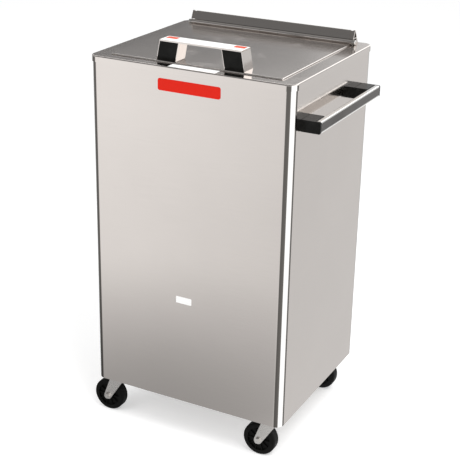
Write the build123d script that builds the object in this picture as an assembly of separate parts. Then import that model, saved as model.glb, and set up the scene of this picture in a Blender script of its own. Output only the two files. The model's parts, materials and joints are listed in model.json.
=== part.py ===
from build123d import *
import math
import os

# Mobile hot pack heater: an insulated stainless water tank in a cabinet on four swivel
# casters, with a hinged lid, a rack for the packs and a drain valve underneath.
# Millimetres, +Z up. The front is -Y and the push handle is on +X. Pieces are drawn about
# the middle of the cabinet and moved at the end, so that the origin lies on the floor
# under the middle of the whole outline.

# ---- Cabinet -----------------------------------------------------------------
TOTAL_HEIGHT = 832.0          # floor to the top of the cap
CABINET_WIDTH = 454.0
CABINET_DEPTH = 398.0
CABINET_LIFT = 94.0           # floor to the lower edge of the cabinet
CORNER_RADIUS = 18.0
CABINET_SHEET = 1.2
PAN_RECESS = 1.0              # base pan above the lower edge
PAN_SHEET = 2.0
PAN_FLANGE = 24.0
SEAT_GAP = 0.3                # between sheet parts that slip over each other
HOLE_GAP = 1.0                # round a pipe or shaft that passes a sheet with room

# ---- Cap ---------------------------------------------------------------------
CAP_SHEET = 1.5
CAP_SKIRT = 13.0
CAP_BEND = 2.5
MOUTH_WIDTH = 344.0           # clear opening over the tank
MOUTH_DEPTH = 304.0
MOUTH_Y = -14.0
MOUTH_RADIUS = 26.0
MOUTH_LIP = 9.0

# ---- Tank, its jacket and its bearers ----------------------------------------
TANK_SHEET = 1.2
TANK_DEPTH = 440.0
TANK_FLANGE = 14.0
TANK_BASE_RADIUS = 20.0
LIP_GAP = 0.4
JACKET_THICKNESS = 20.0
JACKET_FLOOR = 25.0
JACKET_GAP = 0.5
JACKET_HOLE_GAP = 3.0
BEARER_SPACING = 120.0
BEARER_WIDTH = 32.0
BEARER_HEIGHT = 22.0
BEARER_SHEET = 2.0
BEARER_END = 40.0

# ---- Lid ---------------------------------------------------------------------
LID_WIDTH = 384.0
LID_FRONT_RIM = 25.0          # cap left bare in front of the lid
LID_PROUD = 2.5               # top of the lid above the cap
LID_SHEET = 1.0
LID_EDGE_RADIUS = 2.0
LID_CORNER_RADIUS = 5.0
LID_SEAT_GAP = 0.4
LID_PAN_DEPTH = 22.0          # underside of the lid below the top of the cap
LID_PAN_GAP = 6.0
LID_PAN_FLANGE = 10.0
LID_FILL_GAP = 0.2

# ---- Continuous hinge and its guard ------------------------------------------
HINGE_Y = 165.0
HINGE_BARREL_RADIUS = 5.5
HINGE_ROD_RADIUS = 2.5
HINGE_RUNNING_GAP = 0.05
HINGE_SIDE_GAP = 0.4
HINGE_DECK_GAP = 0.4
HINGE_LENGTH = 388.0
HINGE_KNUCKLES = 9
HINGE_LEAF = 1.2
HINGE_LEAF_LENGTH = 15.0
HINGE_ROD_HEAD = 5.4
HINGE_ROD_HEAD_LENGTH = 8.0
HINGE_ROD_HEAD_ROUND = 2.5
LID_OPEN_ANGLE = 115.0
GUARD_CREST_HEIGHT = 32.0     # corner of the guard's fold above the cap, before rounding
GUARD_LEG_GAP = 0.6
GUARD_BACK_Y = 192.0
GUARD_FOLD_RADIUS = 2.0
GUARD_SHEET = 1.2
GUARD_FOOT = 10.0
GUARD_LENGTH = 372.0
GUARD_END_SHEET = 4.0         # open frames beyond the two ends of the guard
GUARD_END_RIM = 2.2
GUARD_END_PROUD = 0.4
GUARD_END_ROUND = 0.7
GUARD_END_GAP = 0.6           # beside the open lid
GUARD_SLEEVE = 10.0           # inside each end of the guard
RIVET_RADIUS = 2.0
RIVET_HEAD = 3.0
RIVET_HEAD_LENGTH = 1.0
RIVET_COUNT = 5
RIVET_END_MARGIN = 30.0

# ---- Lid handle --------------------------------------------------------------
LID_HANDLE_X = 10.0
LID_HANDLE_SETBACK = 6.0      # behind the front edge of the lid
LID_HANDLE_DEPTH = 37.0
LID_HANDLE_HEIGHT = 40.5
LID_HANDLE_BASE = 196.0
LID_HANDLE_TOP = 182.0
LID_LEG_WIDTH = 44.0
LID_STRAP_SHEET = 3.0
LID_STRAP_SIDE = 1.5
LID_CORE_PROUD = 0.6
LID_CORE_ROUND = 1.0
LID_SCREW_RADIUS = 2.5
LID_SCREW_HEAD = 4.5
LID_SCREW_HEAD_LENGTH = 3.0
LID_SCREW_DEPTH = 15.0
LID_SCREW_SPACING = 22.0
LID_SCREW_SETBACK = 12.0      # behind the front wall of the lid's pan

# ---- Side handle -------------------------------------------------------------
SIDE_HANDLE_Y = -4.0
SIDE_HANDLE_LENGTH = 314.0
SIDE_HANDLE_REACH = 41.0
SIDE_HANDLE_DROP = 74.5       # top of the cap to the top of the handle
SIDE_HANDLE_HEIGHT = 24.0
SIDE_BAR_THICKNESS = 12.0
SIDE_BAR_ROUND = 3.0
SIDE_BAR_ENTRY = 5.0
SIDE_BAR_FIT = 0.1
SIDE_BRACKET_THICKNESS = 10.0
SIDE_BLOCK_LENGTH = 45.0      # each end of the handle, behind the bar
SIDE_BLOCK_ROUND = 1.2
SIDE_SCREW_RADIUS = 2.5
SIDE_SCREW_HEAD = 4.6
SIDE_SCREW_HEAD_LENGTH = 3.0
SIDE_SCREW_DEPTH = 18.0
SIDE_SCREW_SPACING = 12.0

# ---- Casters -----------------------------------------------------------------
CASTER_INSET = 36.0           # swivel inside the cabinet's outline
CASTER_PLATE = 56.0
CASTER_PLATE_THICKNESS = 3.0
CASTER_PLATE_RADIUS = 6.0
CASTER_BOLT_SPACING = 42.0
CASTER_BOLT_RADIUS = 3.0
CASTER_BOLT_HEAD = 10.0
CASTER_BOLT_HEAD_LENGTH = 4.0
CASTER_NUT_LENGTH = 5.0
RACE_RADIUS = 19.0
RACE_DEPTH = 6.0
RACE_ROUND = 2.0
SWIVEL_GAP = 0.4
KINGPIN_RADIUS = 5.0
KINGPIN_HEAD = 8.0
KINGPIN_HEAD_LENGTH = 3.0
KINGPIN_RUNNING_GAP = 0.06
FORK_SHEET = 2.6
FORK_CROWN_RADIUS = 20.0
FORK_NECK = 32.0
FORK_TIP_RADIUS = 9.0
CASTER_TRAIL = 24.0
WHEEL_RADIUS = 37.5
WHEEL_WIDTH = 24.0
WHEEL_SHOULDER = 5.0
WHEEL_DISH = 4.0
WHEEL_RIM_DEPTH = 11.0
HUB_RADIUS = 11.0
HUB_WIDTH = 26.0
HUB_SIDE_GAP = 0.5
AXLE_RADIUS = 4.0
AXLE_HEAD = 12.0
AXLE_HEAD_LENGTH = 4.5
AXLE_FIT = 0.1
AXLE_RUNNING_GAP = 0.05

# ---- Rack for the packs ------------------------------------------------------
RACK_WIRE = 5.0
RACK_SIDE_GAP = 11.0          # inside the mouth
RACK_END_GAP = 14.0
RACK_HEADROOM = 37.2          # under the pan of the lid
RACK_BAYS = 6
RACK_BEND = 18.0
RACK_BAR_WIRE = 3.0
RACK_BARS = 3
RACK_SEAT_GAP = 0.3
RACK_GRIP_HEIGHT = 30.0
RACK_GRIP_LENGTH = 110.0
RACK_GRIP_BEND = 10.0

# ---- Element, its shelf and the bulb -----------------------------------------
ELEMENT_RADIUS = 5.5
ELEMENT_CLEARANCE = 26.0
ELEMENT_SPREAD = 170.0
ELEMENT_REACH = 210.0
ELEMENT_BEND = 16.0
ELEMENT_TAIL = 40.0
ELEMENT_NUT = 24.0
ELEMENT_NUT_LENGTH = 9.0
ELEMENT_COLLAR_RADIUS = 11.0
ELEMENT_COLLAR_LENGTH = 5.0
SHELF_HEIGHT = 52.0
SHELF_SHEET = 1.5
SHELF_GAP = 22.0              # inside the mouth
SHELF_SLOTS = 9
SHELF_SLOT_WIDTH = 12.0
SHELF_SLOT_MARGIN = 24.0
BULB_RADIUS = 4.5
BULB_LENGTH = 40.0
BULB_SHANK = 16.0
BULB_GAP = 4.9                # behind the element
BULB_NUT = 17.0
BULB_NUT_LENGTH = 8.0
CAPILLARY_RADIUS = 1.4
CAPILLARY_BEND = 22.0
LEAD_RADIUS = 2.0
LEAD_BEND = 24.0
LEAD_RISE = 60.0

# ---- Controls on the base pan ------------------------------------------------
CONTROL_X = -70.0
CONTROL_Y = 60.0
CONTROL_WIDTH = 170.0
CONTROL_LENGTH = 120.0
CONTROL_HEIGHT = 74.0
CONTROL_SHEET = 1.2
CONTROL_FLANGE = 12.0
CONTROL_CORNER = 6.0
THERMOSTAT_RADIUS = 20.0
THERMOSTAT_HEIGHT = 30.0
THERMOSTAT_SOCKET = 15.0
SPINDLE_RADIUS = 3.0
SPINDLE_BELOW_PAN = 9.0
SPINDLE_RUNNING_GAP = 0.05
SPINDLE_SLOT = 1.0
SPINDLE_SLOT_DEPTH = 2.0
LIMIT_RADIUS = 11.0
LIMIT_HEIGHT = 14.0
LIMIT_EARS = 36.0
LIMIT_EAR_WIDTH = 9.0
LIMIT_EAR_THICKNESS = 1.5
BLOCK_LENGTH = 60.0
BLOCK_WIDTH = 20.0
BLOCK_HEIGHT = 18.0
BLOCK_BARRIER = 6.0
BLOCK_POLES = 4
BLOCK_BACK = 38.0             # behind the middle of the control box
GLAND_X = -150.0
GLAND_Z = 150.0
GLAND_BORE = 4.6              # sealed grip round the cord
GLAND_THROAT = 5.6            # wider way through the thread
GLAND_SEAL_SETBACK = 2.0      # grip starts outside the cabinet wall
GLAND_THREAD_RADIUS = 8.0
GLAND_HEX = 22.0
GLAND_HEX_LENGTH = 6.0
GLAND_DOME_LENGTH = 12.0
GLAND_DOME_ROUND = 2.5
GLAND_THREAD_LENGTH = 12.0
GLAND_NUT_LENGTH = 5.0

# ---- Drain -------------------------------------------------------------------
DRAIN_X = 60.0
DRAIN_Y = 90.0
DRAIN_AXIS_Z = 58.0
DRAIN_PIPE_RADIUS = 10.5
DRAIN_PIPE_WALL = 2.0
DRAIN_ELBOW = 16.0
DRAIN_RIM_RADIUS = 17.0
DRAIN_RIM_HEIGHT = 3.0
DRAIN_NUT = 32.0
DRAIN_NUT_LENGTH = 8.0
VALVE_ACROSS = 28.0
VALVE_LENGTH = 42.0
VALVE_SOCKET = 11.0
VALVE_NECK_RADIUS = 8.0
VALVE_NECK_HEIGHT = 18.5
STEM_RADIUS = 4.5
STEM_RUNNING_GAP = 0.05
STEM_DEPTH = 16.0             # of the stem in the valve's neck
LEVER_GAP = 0.6
LEVER_LENGTH = 70.0
LEVER_WIDTH = 14.0
LEVER_THICKNESS = 3.0
LEVER_NUT = 12.0
LEVER_NUT_LENGTH = 4.0
SPOUT_RADIUS = 9.5
SPOUT_WALL = 2.0
SPOUT_LENGTH = 36.0
SPOUT_ENTRY = 9.0             # in the valve's socket
SPOUT_ENTRY_RADIUS = 8.8
SPOUT_SHOULDER_RADIUS = 12.0
SPOUT_SHOULDER = 2.0

# ---- Derived places ----------------------------------------------------------
SIDE_X = CABINET_WIDTH / 2
BACK_Y = CABINET_DEPTH / 2
CAP_TOP = TOTAL_HEIGHT
CAP_UNDER = CAP_TOP - CAP_SHEET
CAP_REACH = SEAT_GAP + CAP_SHEET
PAN_BOTTOM = CABINET_LIFT + PAN_RECESS
PAN_TOP = PAN_BOTTOM + PAN_SHEET
TANK_WIDTH = MOUTH_WIDTH + 2 * (CAP_SHEET + LIP_GAP)
TANK_LENGTH = MOUTH_DEPTH + 2 * (CAP_SHEET + LIP_GAP)
TANK_CORNER = MOUTH_RADIUS + CAP_SHEET + LIP_GAP
TANK_FLOOR = CAP_UNDER - TANK_DEPTH
TANK_UNDER = TANK_FLOOR - TANK_SHEET
JACKET_UNDER = TANK_UNDER - JACKET_GAP - JACKET_FLOOR
HINGE_Z = CAP_TOP + HINGE_DECK_GAP + HINGE_BARREL_RADIUS
HINGE_PITCH = HINGE_LENGTH / HINGE_KNUCKLES
LID_FRONT_Y = LID_FRONT_RIM - BACK_Y
LID_BACK_Y = HINGE_Y - HINGE_BARREL_RADIUS - HINGE_SIDE_GAP
LID_DEPTH = LID_BACK_Y - LID_FRONT_Y
LID_MIDDLE_Y = (LID_FRONT_Y + LID_BACK_Y) / 2
LID_TOP = CAP_TOP + LID_PROUD
LID_INSIDE = LID_TOP - LID_SHEET
LID_PAN_WIDTH = MOUTH_WIDTH - 2 * LID_PAN_GAP
LID_PAN_LENGTH = MOUTH_DEPTH - 2 * LID_PAN_GAP
LID_PAN_CORNER = MOUTH_RADIUS - LID_PAN_GAP
LID_PAN_UNDER = CAP_TOP - LID_PAN_DEPTH
LID_HANDLE_Y = LID_FRONT_Y + LID_HANDLE_SETBACK + LID_HANDLE_DEPTH / 2
SIDE_HANDLE_Z = CAP_TOP - SIDE_HANDLE_DROP - SIDE_HANDLE_HEIGHT / 2
SIDE_BRACKET_Y = (SIDE_HANDLE_LENGTH - SIDE_BRACKET_THICKNESS) / 2
SHELF_TOP = TANK_FLOOR + SHELF_HEIGHT
SHELF_WIDTH = MOUTH_WIDTH - 2 * SHELF_GAP
SHELF_LENGTH = MOUTH_DEPTH - 2 * SHELF_GAP
RACK_UNDER = SHELF_TOP + RACK_SEAT_GAP
RACK_WIDTH = MOUTH_WIDTH - 2 * RACK_SIDE_GAP
RACK_LENGTH = MOUTH_DEPTH - 2 * RACK_END_GAP
RACK_HEIGHT = LID_PAN_UNDER - RACK_HEADROOM - RACK_GRIP_HEIGHT - RACK_UNDER
ELEMENT_Z = TANK_FLOOR + ELEMENT_CLEARANCE
ELEMENT_FRONT_Y = MOUTH_Y - ELEMENT_REACH / 2
BULB_Y = ELEMENT_FRONT_Y + ELEMENT_REACH + ELEMENT_RADIUS + BULB_GAP + BULB_RADIUS
THERMOSTAT_X = CONTROL_X + CONTROL_WIDTH / 4
LIMIT_X = CONTROL_X - CONTROL_WIDTH / 4
VALVE_START_Y = DRAIN_Y + DRAIN_ELBOW
VALVE_Y = VALVE_START_Y + VALVE_LENGTH / 2
VALVE_END_Y = VALVE_START_Y + VALVE_LENGTH
LEVER_Z = DRAIN_AXIS_Z + VALVE_NECK_HEIGHT + LEVER_GAP
RACE_UNDER = PAN_BOTTOM - CASTER_PLATE_THICKNESS - RACE_DEPTH
FORK_TOP = RACE_UNDER - SWIVEL_GAP
FORK_INNER = HUB_WIDTH + 2 * HUB_SIDE_GAP
FORK_OUTER = FORK_INNER + 2 * FORK_SHEET

CASTER_X = CABINET_WIDTH / 2 - CASTER_INSET
CASTER_Y = CABINET_DEPTH / 2 - CASTER_INSET
CASTER_PLACES = {
    "front_left": (-CASTER_X, -CASTER_Y),
    "front_right": (CASTER_X, -CASTER_Y),
    "rear_left": (-CASTER_X, CASTER_Y),
    "rear_right": (CASTER_X, CASTER_Y),
}


# ---- Shape helpers -----------------------------------------------------------
def block(width, depth, radius, low, high):
    """Upright block with rounded corners between two heights."""
    return Pos(0, 0, low) * extrude(RectangleRounded(width, depth, radius), high - low)


def tube(radius, low, high):
    """Upright cylinder between two heights."""
    return Pos(0, 0, low) * extrude(Circle(radius), high - low)


def hexagon(across, low, high):
    """Upright hexagonal bar between two heights."""
    outline = RegularPolygon(across / 2, 6, major_radius=False)
    return Pos(0, 0, low) * extrude(outline, high - low)


def along_y(piece):
    """Turn an upright piece about X so that up becomes +Y."""
    return Rot(-90, 0, 0) * piece


def along_x(piece):
    """Turn an upright piece about Y so that up becomes +X."""
    return Rot(0, 90, 0) * piece


def wire(points, bend, radius):
    """Round wire along a path of straight runs joined by arcs."""
    path = FilletPolyline(*points, radius=bend)
    return sweep((path ^ 0) * Circle(radius), path=path)


def group(pieces):
    """Separate solids kept side by side in one sub-part."""
    return Compound([solid for piece in pieces for solid in piece.solids()])


def mirrored_pair(offset):
    return (-offset, offset)


# ---- Fixing places -----------------------------------------------------------
def bolt_places():
    half = CASTER_BOLT_SPACING / 2
    return [(x + dx, y + dy) for x, y in CASTER_PLACES.values()
            for dx in mirrored_pair(half) for dy in mirrored_pair(half)]


def side_screw_places():
    return [(SIDE_HANDLE_Y + dy, SIDE_HANDLE_Z + dz)
            for dy in mirrored_pair(SIDE_BRACKET_Y)
            for dz in mirrored_pair(SIDE_SCREW_SPACING / 2)]


def lid_screw_places():
    reach = (LID_HANDLE_BASE - LID_LEG_WIDTH) / 2
    y = MOUTH_Y - LID_PAN_LENGTH / 2 + LID_SHEET + LID_SCREW_SETBACK
    return [(LID_HANDLE_X + leg + dx, y) for leg in mirrored_pair(reach)
            for dx in mirrored_pair(LID_SCREW_SPACING / 2)]


def rivet_xs():
    span = GUARD_LENGTH - 2 * RIVET_END_MARGIN
    return [span * (i / (RIVET_COUNT - 1) - 0.5) for i in range(RIVET_COUNT)]


def tank_floor_holes():
    """(x, y, hole radius, clear radius under the floor) of each fitting."""
    element = [(x, ELEMENT_FRONT_Y, ELEMENT_RADIUS, ELEMENT_NUT)
               for x in mirrored_pair(ELEMENT_SPREAD / 2)]
    bulb = [(CONTROL_X, BULB_Y, BULB_RADIUS, BULB_NUT)]
    drain = [(DRAIN_X, DRAIN_Y, DRAIN_PIPE_RADIUS, DRAIN_NUT)]
    return [(x, y, radius, across / math.sqrt(3) + JACKET_HOLE_GAP)
            for x, y, radius, across in element + bulb + drain]


# ---- Cabinet -----------------------------------------------------------------
def outer_cabinet():
    shell = block(CABINET_WIDTH, CABINET_DEPTH, CORNER_RADIUS, CABINET_LIFT, CAP_UNDER)
    shell -= block(CABINET_WIDTH - 2 * CABINET_SHEET, CABINET_DEPTH - 2 * CABINET_SHEET,
                   CORNER_RADIUS - CABINET_SHEET, 0, TOTAL_HEIGHT)
    drill = along_x(tube(SIDE_SCREW_RADIUS, -CORNER_RADIUS, CORNER_RADIUS))
    for y, z in side_screw_places():
        shell -= Pos(SIDE_X, y, z) * drill
    punch = along_y(tube(GLAND_THREAD_RADIUS, -CORNER_RADIUS, CORNER_RADIUS))
    return shell - Pos(GLAND_X, BACK_Y, GLAND_Z) * punch


def base_pan():
    width = CABINET_WIDTH - 2 * CABINET_SHEET
    depth = CABINET_DEPTH - 2 * CABINET_SHEET
    pan = block(width, depth, CORNER_RADIUS, PAN_BOTTOM, PAN_BOTTOM + PAN_FLANGE)
    pan -= block(width - 2 * PAN_SHEET, depth - 2 * PAN_SHEET, CORNER_RADIUS - PAN_SHEET,
                 PAN_TOP, PAN_TOP + PAN_FLANGE)
    for x, y in bolt_places():
        pan -= Pos(x, y, 0) * tube(CASTER_BOLT_RADIUS, 0, TANK_UNDER)
    pan -= Pos(DRAIN_X, DRAIN_Y, 0) * tube(DRAIN_PIPE_RADIUS + HOLE_GAP, 0, TANK_UNDER)
    return pan - Pos(THERMOSTAT_X, CONTROL_Y, 0) * tube(SPINDLE_RADIUS + HOLE_GAP, 0, TANK_UNDER)


def top_cap():
    width = CABINET_WIDTH + 2 * CAP_REACH
    depth = CABINET_DEPTH + 2 * CAP_REACH
    corner = CORNER_RADIUS + CAP_REACH
    cap = block(width, depth, corner, CAP_TOP - CAP_SKIRT, CAP_TOP)
    cap = fillet(cap.edges().group_by(Axis.Z)[-1], CAP_BEND)
    cap -= block(width - 2 * CAP_SHEET, depth - 2 * CAP_SHEET, corner - CAP_SHEET,
                 CAP_TOP - 2 * CAP_SKIRT, CAP_UNDER)
    lip = block(MOUTH_WIDTH + 2 * CAP_SHEET, MOUTH_DEPTH + 2 * CAP_SHEET,
                MOUTH_RADIUS + CAP_SHEET, CAP_TOP - MOUTH_LIP, CAP_UNDER)
    mouth = block(MOUTH_WIDTH, MOUTH_DEPTH, MOUTH_RADIUS, CAP_TOP - 2 * MOUTH_LIP, 2 * CAP_TOP)
    return cap + Pos(0, MOUTH_Y, 0) * lip - Pos(0, MOUTH_Y, 0) * mouth


def tank():
    outer = block(TANK_WIDTH + 2 * TANK_SHEET, TANK_LENGTH + 2 * TANK_SHEET,
                  TANK_CORNER + TANK_SHEET, TANK_UNDER, CAP_UNDER)
    outer = fillet(outer.edges().group_by(Axis.Z)[0], TANK_BASE_RADIUS + TANK_SHEET)
    inner = block(TANK_WIDTH, TANK_LENGTH, TANK_CORNER, TANK_FLOOR, CAP_TOP)
    inner = fillet(inner.edges().group_by(Axis.Z)[0], TANK_BASE_RADIUS)
    flange = block(TANK_WIDTH + 2 * TANK_FLANGE, TANK_LENGTH + 2 * TANK_FLANGE,
                   TANK_CORNER + TANK_FLANGE, CAP_UNDER - TANK_SHEET, CAP_UNDER)
    body = Pos(0, MOUTH_Y, 0) * (outer + flange - inner)
    for x, y, radius, _ in tank_floor_holes():
        body -= Pos(x, y, 0) * tube(radius, JACKET_UNDER, ELEMENT_Z)
    return body


def tank_jacket():
    """Insulating blanket round the walls and under the floor of the tank."""
    width = TANK_WIDTH + 2 * (TANK_SHEET + JACKET_GAP)
    length = TANK_LENGTH + 2 * (TANK_SHEET + JACKET_GAP)
    corner = TANK_CORNER + TANK_SHEET + JACKET_GAP
    top = CAP_UNDER - TANK_SHEET - JACKET_GAP
    blanket = block(width + 2 * JACKET_THICKNESS, length + 2 * JACKET_THICKNESS,
                    corner + JACKET_THICKNESS, JACKET_UNDER, top)
    blanket -= block(width, length, corner, TANK_UNDER - JACKET_GAP, CAP_TOP)
    blanket = Pos(0, MOUTH_Y, 0) * blanket
    for x, y, _, clear in tank_floor_holes():
        blanket -= Pos(x, y, 0) * tube(clear, 0, TANK_UNDER)
    return blanket


def tank_bearers():
    """Two channels across the cabinet, under the jacket."""
    length = CABINET_WIDTH - 2 * CABINET_SHEET
    low = JACKET_UNDER - BEARER_HEIGHT
    channel = Pos(0, 0, low) * Box(length, BEARER_WIDTH, BEARER_HEIGHT,
                                   align=(Align.CENTER, Align.CENTER, Align.MIN))
    inside = Pos(0, 0, low) * Box(length, BEARER_WIDTH - 2 * BEARER_SHEET,
                                  BEARER_HEIGHT - BEARER_SHEET,
                                  align=(Align.CENTER, Align.CENTER, Align.MIN))
    ends = [Pos(x, 0, JACKET_UNDER) * Box(BEARER_SHEET, BEARER_WIDTH, BEARER_END,
                                          align=(Align.CENTER, Align.CENTER, Align.MAX))
            for x in mirrored_pair((length - BEARER_SHEET) / 2)]
    bearer = channel - inside + ends[0] + ends[1]
    return group([Pos(0, MOUTH_Y + y, 0) * bearer for y in mirrored_pair(BEARER_SPACING / 2)])


# ---- Continuous hinge --------------------------------------------------------
def knuckle_spans(first):
    """Middles of every second knuckle, starting with the one numbered first."""
    start = -HINGE_LENGTH / 2 + HINGE_PITCH / 2
    return [start + i * HINGE_PITCH for i in range(first, HINGE_KNUCKLES, 2)]


def hinge_leaf(first, low, near, far):
    """Flat leaf between two y places that reaches its own knuckles and clears the others."""
    leaf = Pos(0, (near + far) / 2, low) * Box(
        HINGE_LENGTH, abs(far - near), HINGE_LEAF, align=(Align.CENTER, Align.CENTER, Align.MIN))
    width = HINGE_PITCH - HINGE_SIDE_GAP
    barrel = along_x(tube(HINGE_BARREL_RADIUS, -width / 2, width / 2))
    web = Pos(0, (near + HINGE_Y) / 2, low) * Box(
        width, abs(near - HINGE_Y), HINGE_LEAF, align=(Align.CENTER, Align.CENTER, Align.MIN))
    for x in knuckle_spans(first):
        leaf += Pos(x, 0, 0) * (Pos(0, HINGE_Y, HINGE_Z) * barrel + web)
    return leaf


def hinge_cap_leaf():
    near = HINGE_Y + HINGE_BARREL_RADIUS + HINGE_SIDE_GAP
    far = GUARD_BACK_Y - GUARD_SHEET
    leaf = hinge_leaf(0, CAP_TOP, near, far)
    leaf -= Pos(0, HINGE_Y, HINGE_Z) * along_x(
        tube(HINGE_ROD_RADIUS, -HINGE_LENGTH, HINGE_LENGTH))
    for x in rivet_xs():
        leaf -= Pos(x, rivet_y(), 0) * tube(RIVET_RADIUS, 0, 2 * CAP_TOP)
    return leaf


def hinge_lid_leaf():
    low = LID_INSIDE - HINGE_LEAF
    leaf = hinge_leaf(1, low, LID_BACK_Y, LID_BACK_Y - HINGE_LEAF_LENGTH)
    spare = (HINGE_LENGTH - LID_WIDTH) / 2 + LID_SHEET
    for x in mirrored_pair(HINGE_LENGTH / 2):
        leaf -= Pos(x, LID_BACK_Y, low) * Box(2 * spare, 4 * HINGE_LEAF_LENGTH, 4 * HINGE_LEAF)
    return leaf - Pos(0, HINGE_Y, HINGE_Z) * along_x(
        tube(HINGE_ROD_RADIUS + HINGE_RUNNING_GAP, -HINGE_LENGTH, HINGE_LENGTH))


def hinge_rod():
    half = HINGE_LENGTH / 2
    pin = tube(HINGE_ROD_RADIUS, -half, half)
    head = tube(HINGE_ROD_HEAD, half, half + HINGE_ROD_HEAD_LENGTH)
    head = fillet(head.edges().group_by(Axis.Z)[-1], HINGE_ROD_HEAD_ROUND)
    pin += head + mirror(head, Plane.XY)
    return Pos(0, HINGE_Y, HINGE_Z) * along_x(pin)


def rivet_y():
    return GUARD_BACK_Y - GUARD_SHEET - GUARD_FOOT / 2


def guard_front_y(z):
    """Front of the hinge guard at a height: just behind the lid's top when it is open."""
    tilt = math.radians(LID_OPEN_ANGLE - 90)
    lid_offset = HINGE_Z - LID_TOP
    return HINGE_Y + (z - HINGE_Z) * math.tan(tilt) - (lid_offset - GUARD_LEG_GAP) / math.cos(tilt)


def guard_section():
    """Folded outline of the hinge guard in (y, z), down to the cap."""
    crest_z = CAP_TOP + GUARD_CREST_HEIGHT
    outline = make_face(Polyline(
        (guard_front_y(CAP_TOP), CAP_TOP), (guard_front_y(crest_z), crest_z),
        (GUARD_BACK_Y, CAP_TOP + HINGE_LEAF), (GUARD_BACK_Y, CAP_TOP), close=True))
    return fillet(outline.vertices().group_by(Axis.Y)[-1], GUARD_FOLD_RADIUS)


def inset(section, amount):
    return offset(section, amount=-amount, kind=Kind.INTERSECTION)


def guard_end(section, tip_z):
    """Sleeve inside the +X end of the guard, with an open frame beside the lid."""
    start = LID_WIDTH / 2 + GUARD_END_GAP
    above = section & Pos(GUARD_BACK_Y, tip_z + GUARD_BACK_Y / 2) * Rectangle(
        GUARD_BACK_Y, GUARD_BACK_Y)
    rim = inset(section, -GUARD_END_PROUD) - inset(above, GUARD_END_RIM)
    frame = Pos(start, 0, 0) * extrude(Plane.YZ * rim, GUARD_END_SHEET)
    frame = fillet(frame.edges().group_by(Axis.X)[-1], GUARD_END_ROUND)
    inner = GUARD_LENGTH / 2 - GUARD_SLEEVE
    sleeve = inset(section, GUARD_SHEET) - inset(section, 2 * GUARD_SHEET)
    return frame + Pos(inner, 0, 0) * extrude(Plane.YZ * sleeve, start - inner)


def hinge_guard():
    """Folded ridge over the hinge. The open lid leans against its front leg."""
    foot_z = CAP_TOP + HINGE_LEAF
    tip_z = HINGE_Z + HINGE_BARREL_RADIUS + GUARD_LEG_GAP
    section = guard_section()
    fold = Plane.YZ * (section - inset(section, GUARD_SHEET))
    solid = extrude(fold, GUARD_LENGTH / 2, both=True)
    end = guard_end(section, tip_z)
    solid += end + mirror(end, Plane.YZ)
    solid -= Pos(0, guard_front_y(CAP_TOP), CAP_TOP) * Box(
        2 * GUARD_LENGTH, 2 * (GUARD_BACK_Y - GUARD_FOOT - GUARD_SHEET - guard_front_y(CAP_TOP)),
        2 * (tip_z - CAP_TOP))
    solid -= Pos(0, GUARD_BACK_Y, CAP_TOP) * Box(2 * GUARD_LENGTH, GUARD_BACK_Y, 2 * HINGE_LEAF)
    solid += Pos(0, GUARD_BACK_Y, foot_z) * Box(
        GUARD_LENGTH, GUARD_FOOT + GUARD_SHEET, GUARD_SHEET,
        align=(Align.CENTER, Align.MAX, Align.MIN))
    for x in rivet_xs():
        solid -= Pos(x, rivet_y(), 0) * tube(RIVET_RADIUS, CAP_TOP, foot_z + 2 * GUARD_SHEET)
    return solid


def hinge_rivets():
    low = CAP_TOP + HINGE_LEAF + GUARD_SHEET
    rivet = tube(RIVET_RADIUS, CAP_TOP, low) + tube(RIVET_HEAD, low, low + RIVET_HEAD_LENGTH)
    return group([Pos(x, rivet_y(), 0) * rivet for x in rivet_xs()])


# ---- Lid ---------------------------------------------------------------------
def lid_skin():
    low = CAP_TOP + LID_SEAT_GAP
    skin = Pos(0, LID_MIDDLE_Y, 0) * block(LID_WIDTH, LID_DEPTH, LID_CORNER_RADIUS, low, LID_TOP)
    skin = fillet(skin.edges().group_by(Axis.Z)[-1], LID_EDGE_RADIUS)
    room = block(LID_WIDTH - 2 * LID_SHEET, LID_DEPTH, LID_CORNER_RADIUS - LID_SHEET,
                 CAP_TOP - LID_PROUD, LID_INSIDE)
    skin -= Pos(0, LID_MIDDLE_Y + LID_SHEET, 0) * room
    skin -= Pos(0, LID_BACK_Y, CAP_TOP - LID_PROUD) * Box(
        LID_WIDTH - 2 * LID_SHEET, 2 * HINGE_LEAF_LENGTH, LID_PROUD + LID_INSIDE - CAP_TOP,
        align=(Align.CENTER, Align.CENTER, Align.MIN))
    for x, y in lid_screw_places():
        skin -= Pos(x, y, 0) * tube(LID_SCREW_RADIUS, CAP_TOP, LID_TOP + 1)
    return skin


def lid_pan():
    """Inner pan that closes the mouth of the tank, flanged to the lid's skin."""
    pan = block(LID_PAN_WIDTH, LID_PAN_LENGTH, LID_PAN_CORNER, LID_PAN_UNDER, LID_INSIDE)
    pan += block(LID_PAN_WIDTH + 2 * LID_PAN_FLANGE, LID_PAN_LENGTH + 2 * LID_PAN_FLANGE,
                 LID_PAN_CORNER + LID_PAN_FLANGE, LID_INSIDE - LID_SHEET, LID_INSIDE)
    pan -= block(LID_PAN_WIDTH - 2 * LID_SHEET, LID_PAN_LENGTH - 2 * LID_SHEET,
                 LID_PAN_CORNER - LID_SHEET, LID_PAN_UNDER + LID_SHEET, 2 * LID_INSIDE)
    return Pos(0, MOUTH_Y, 0) * pan


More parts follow.
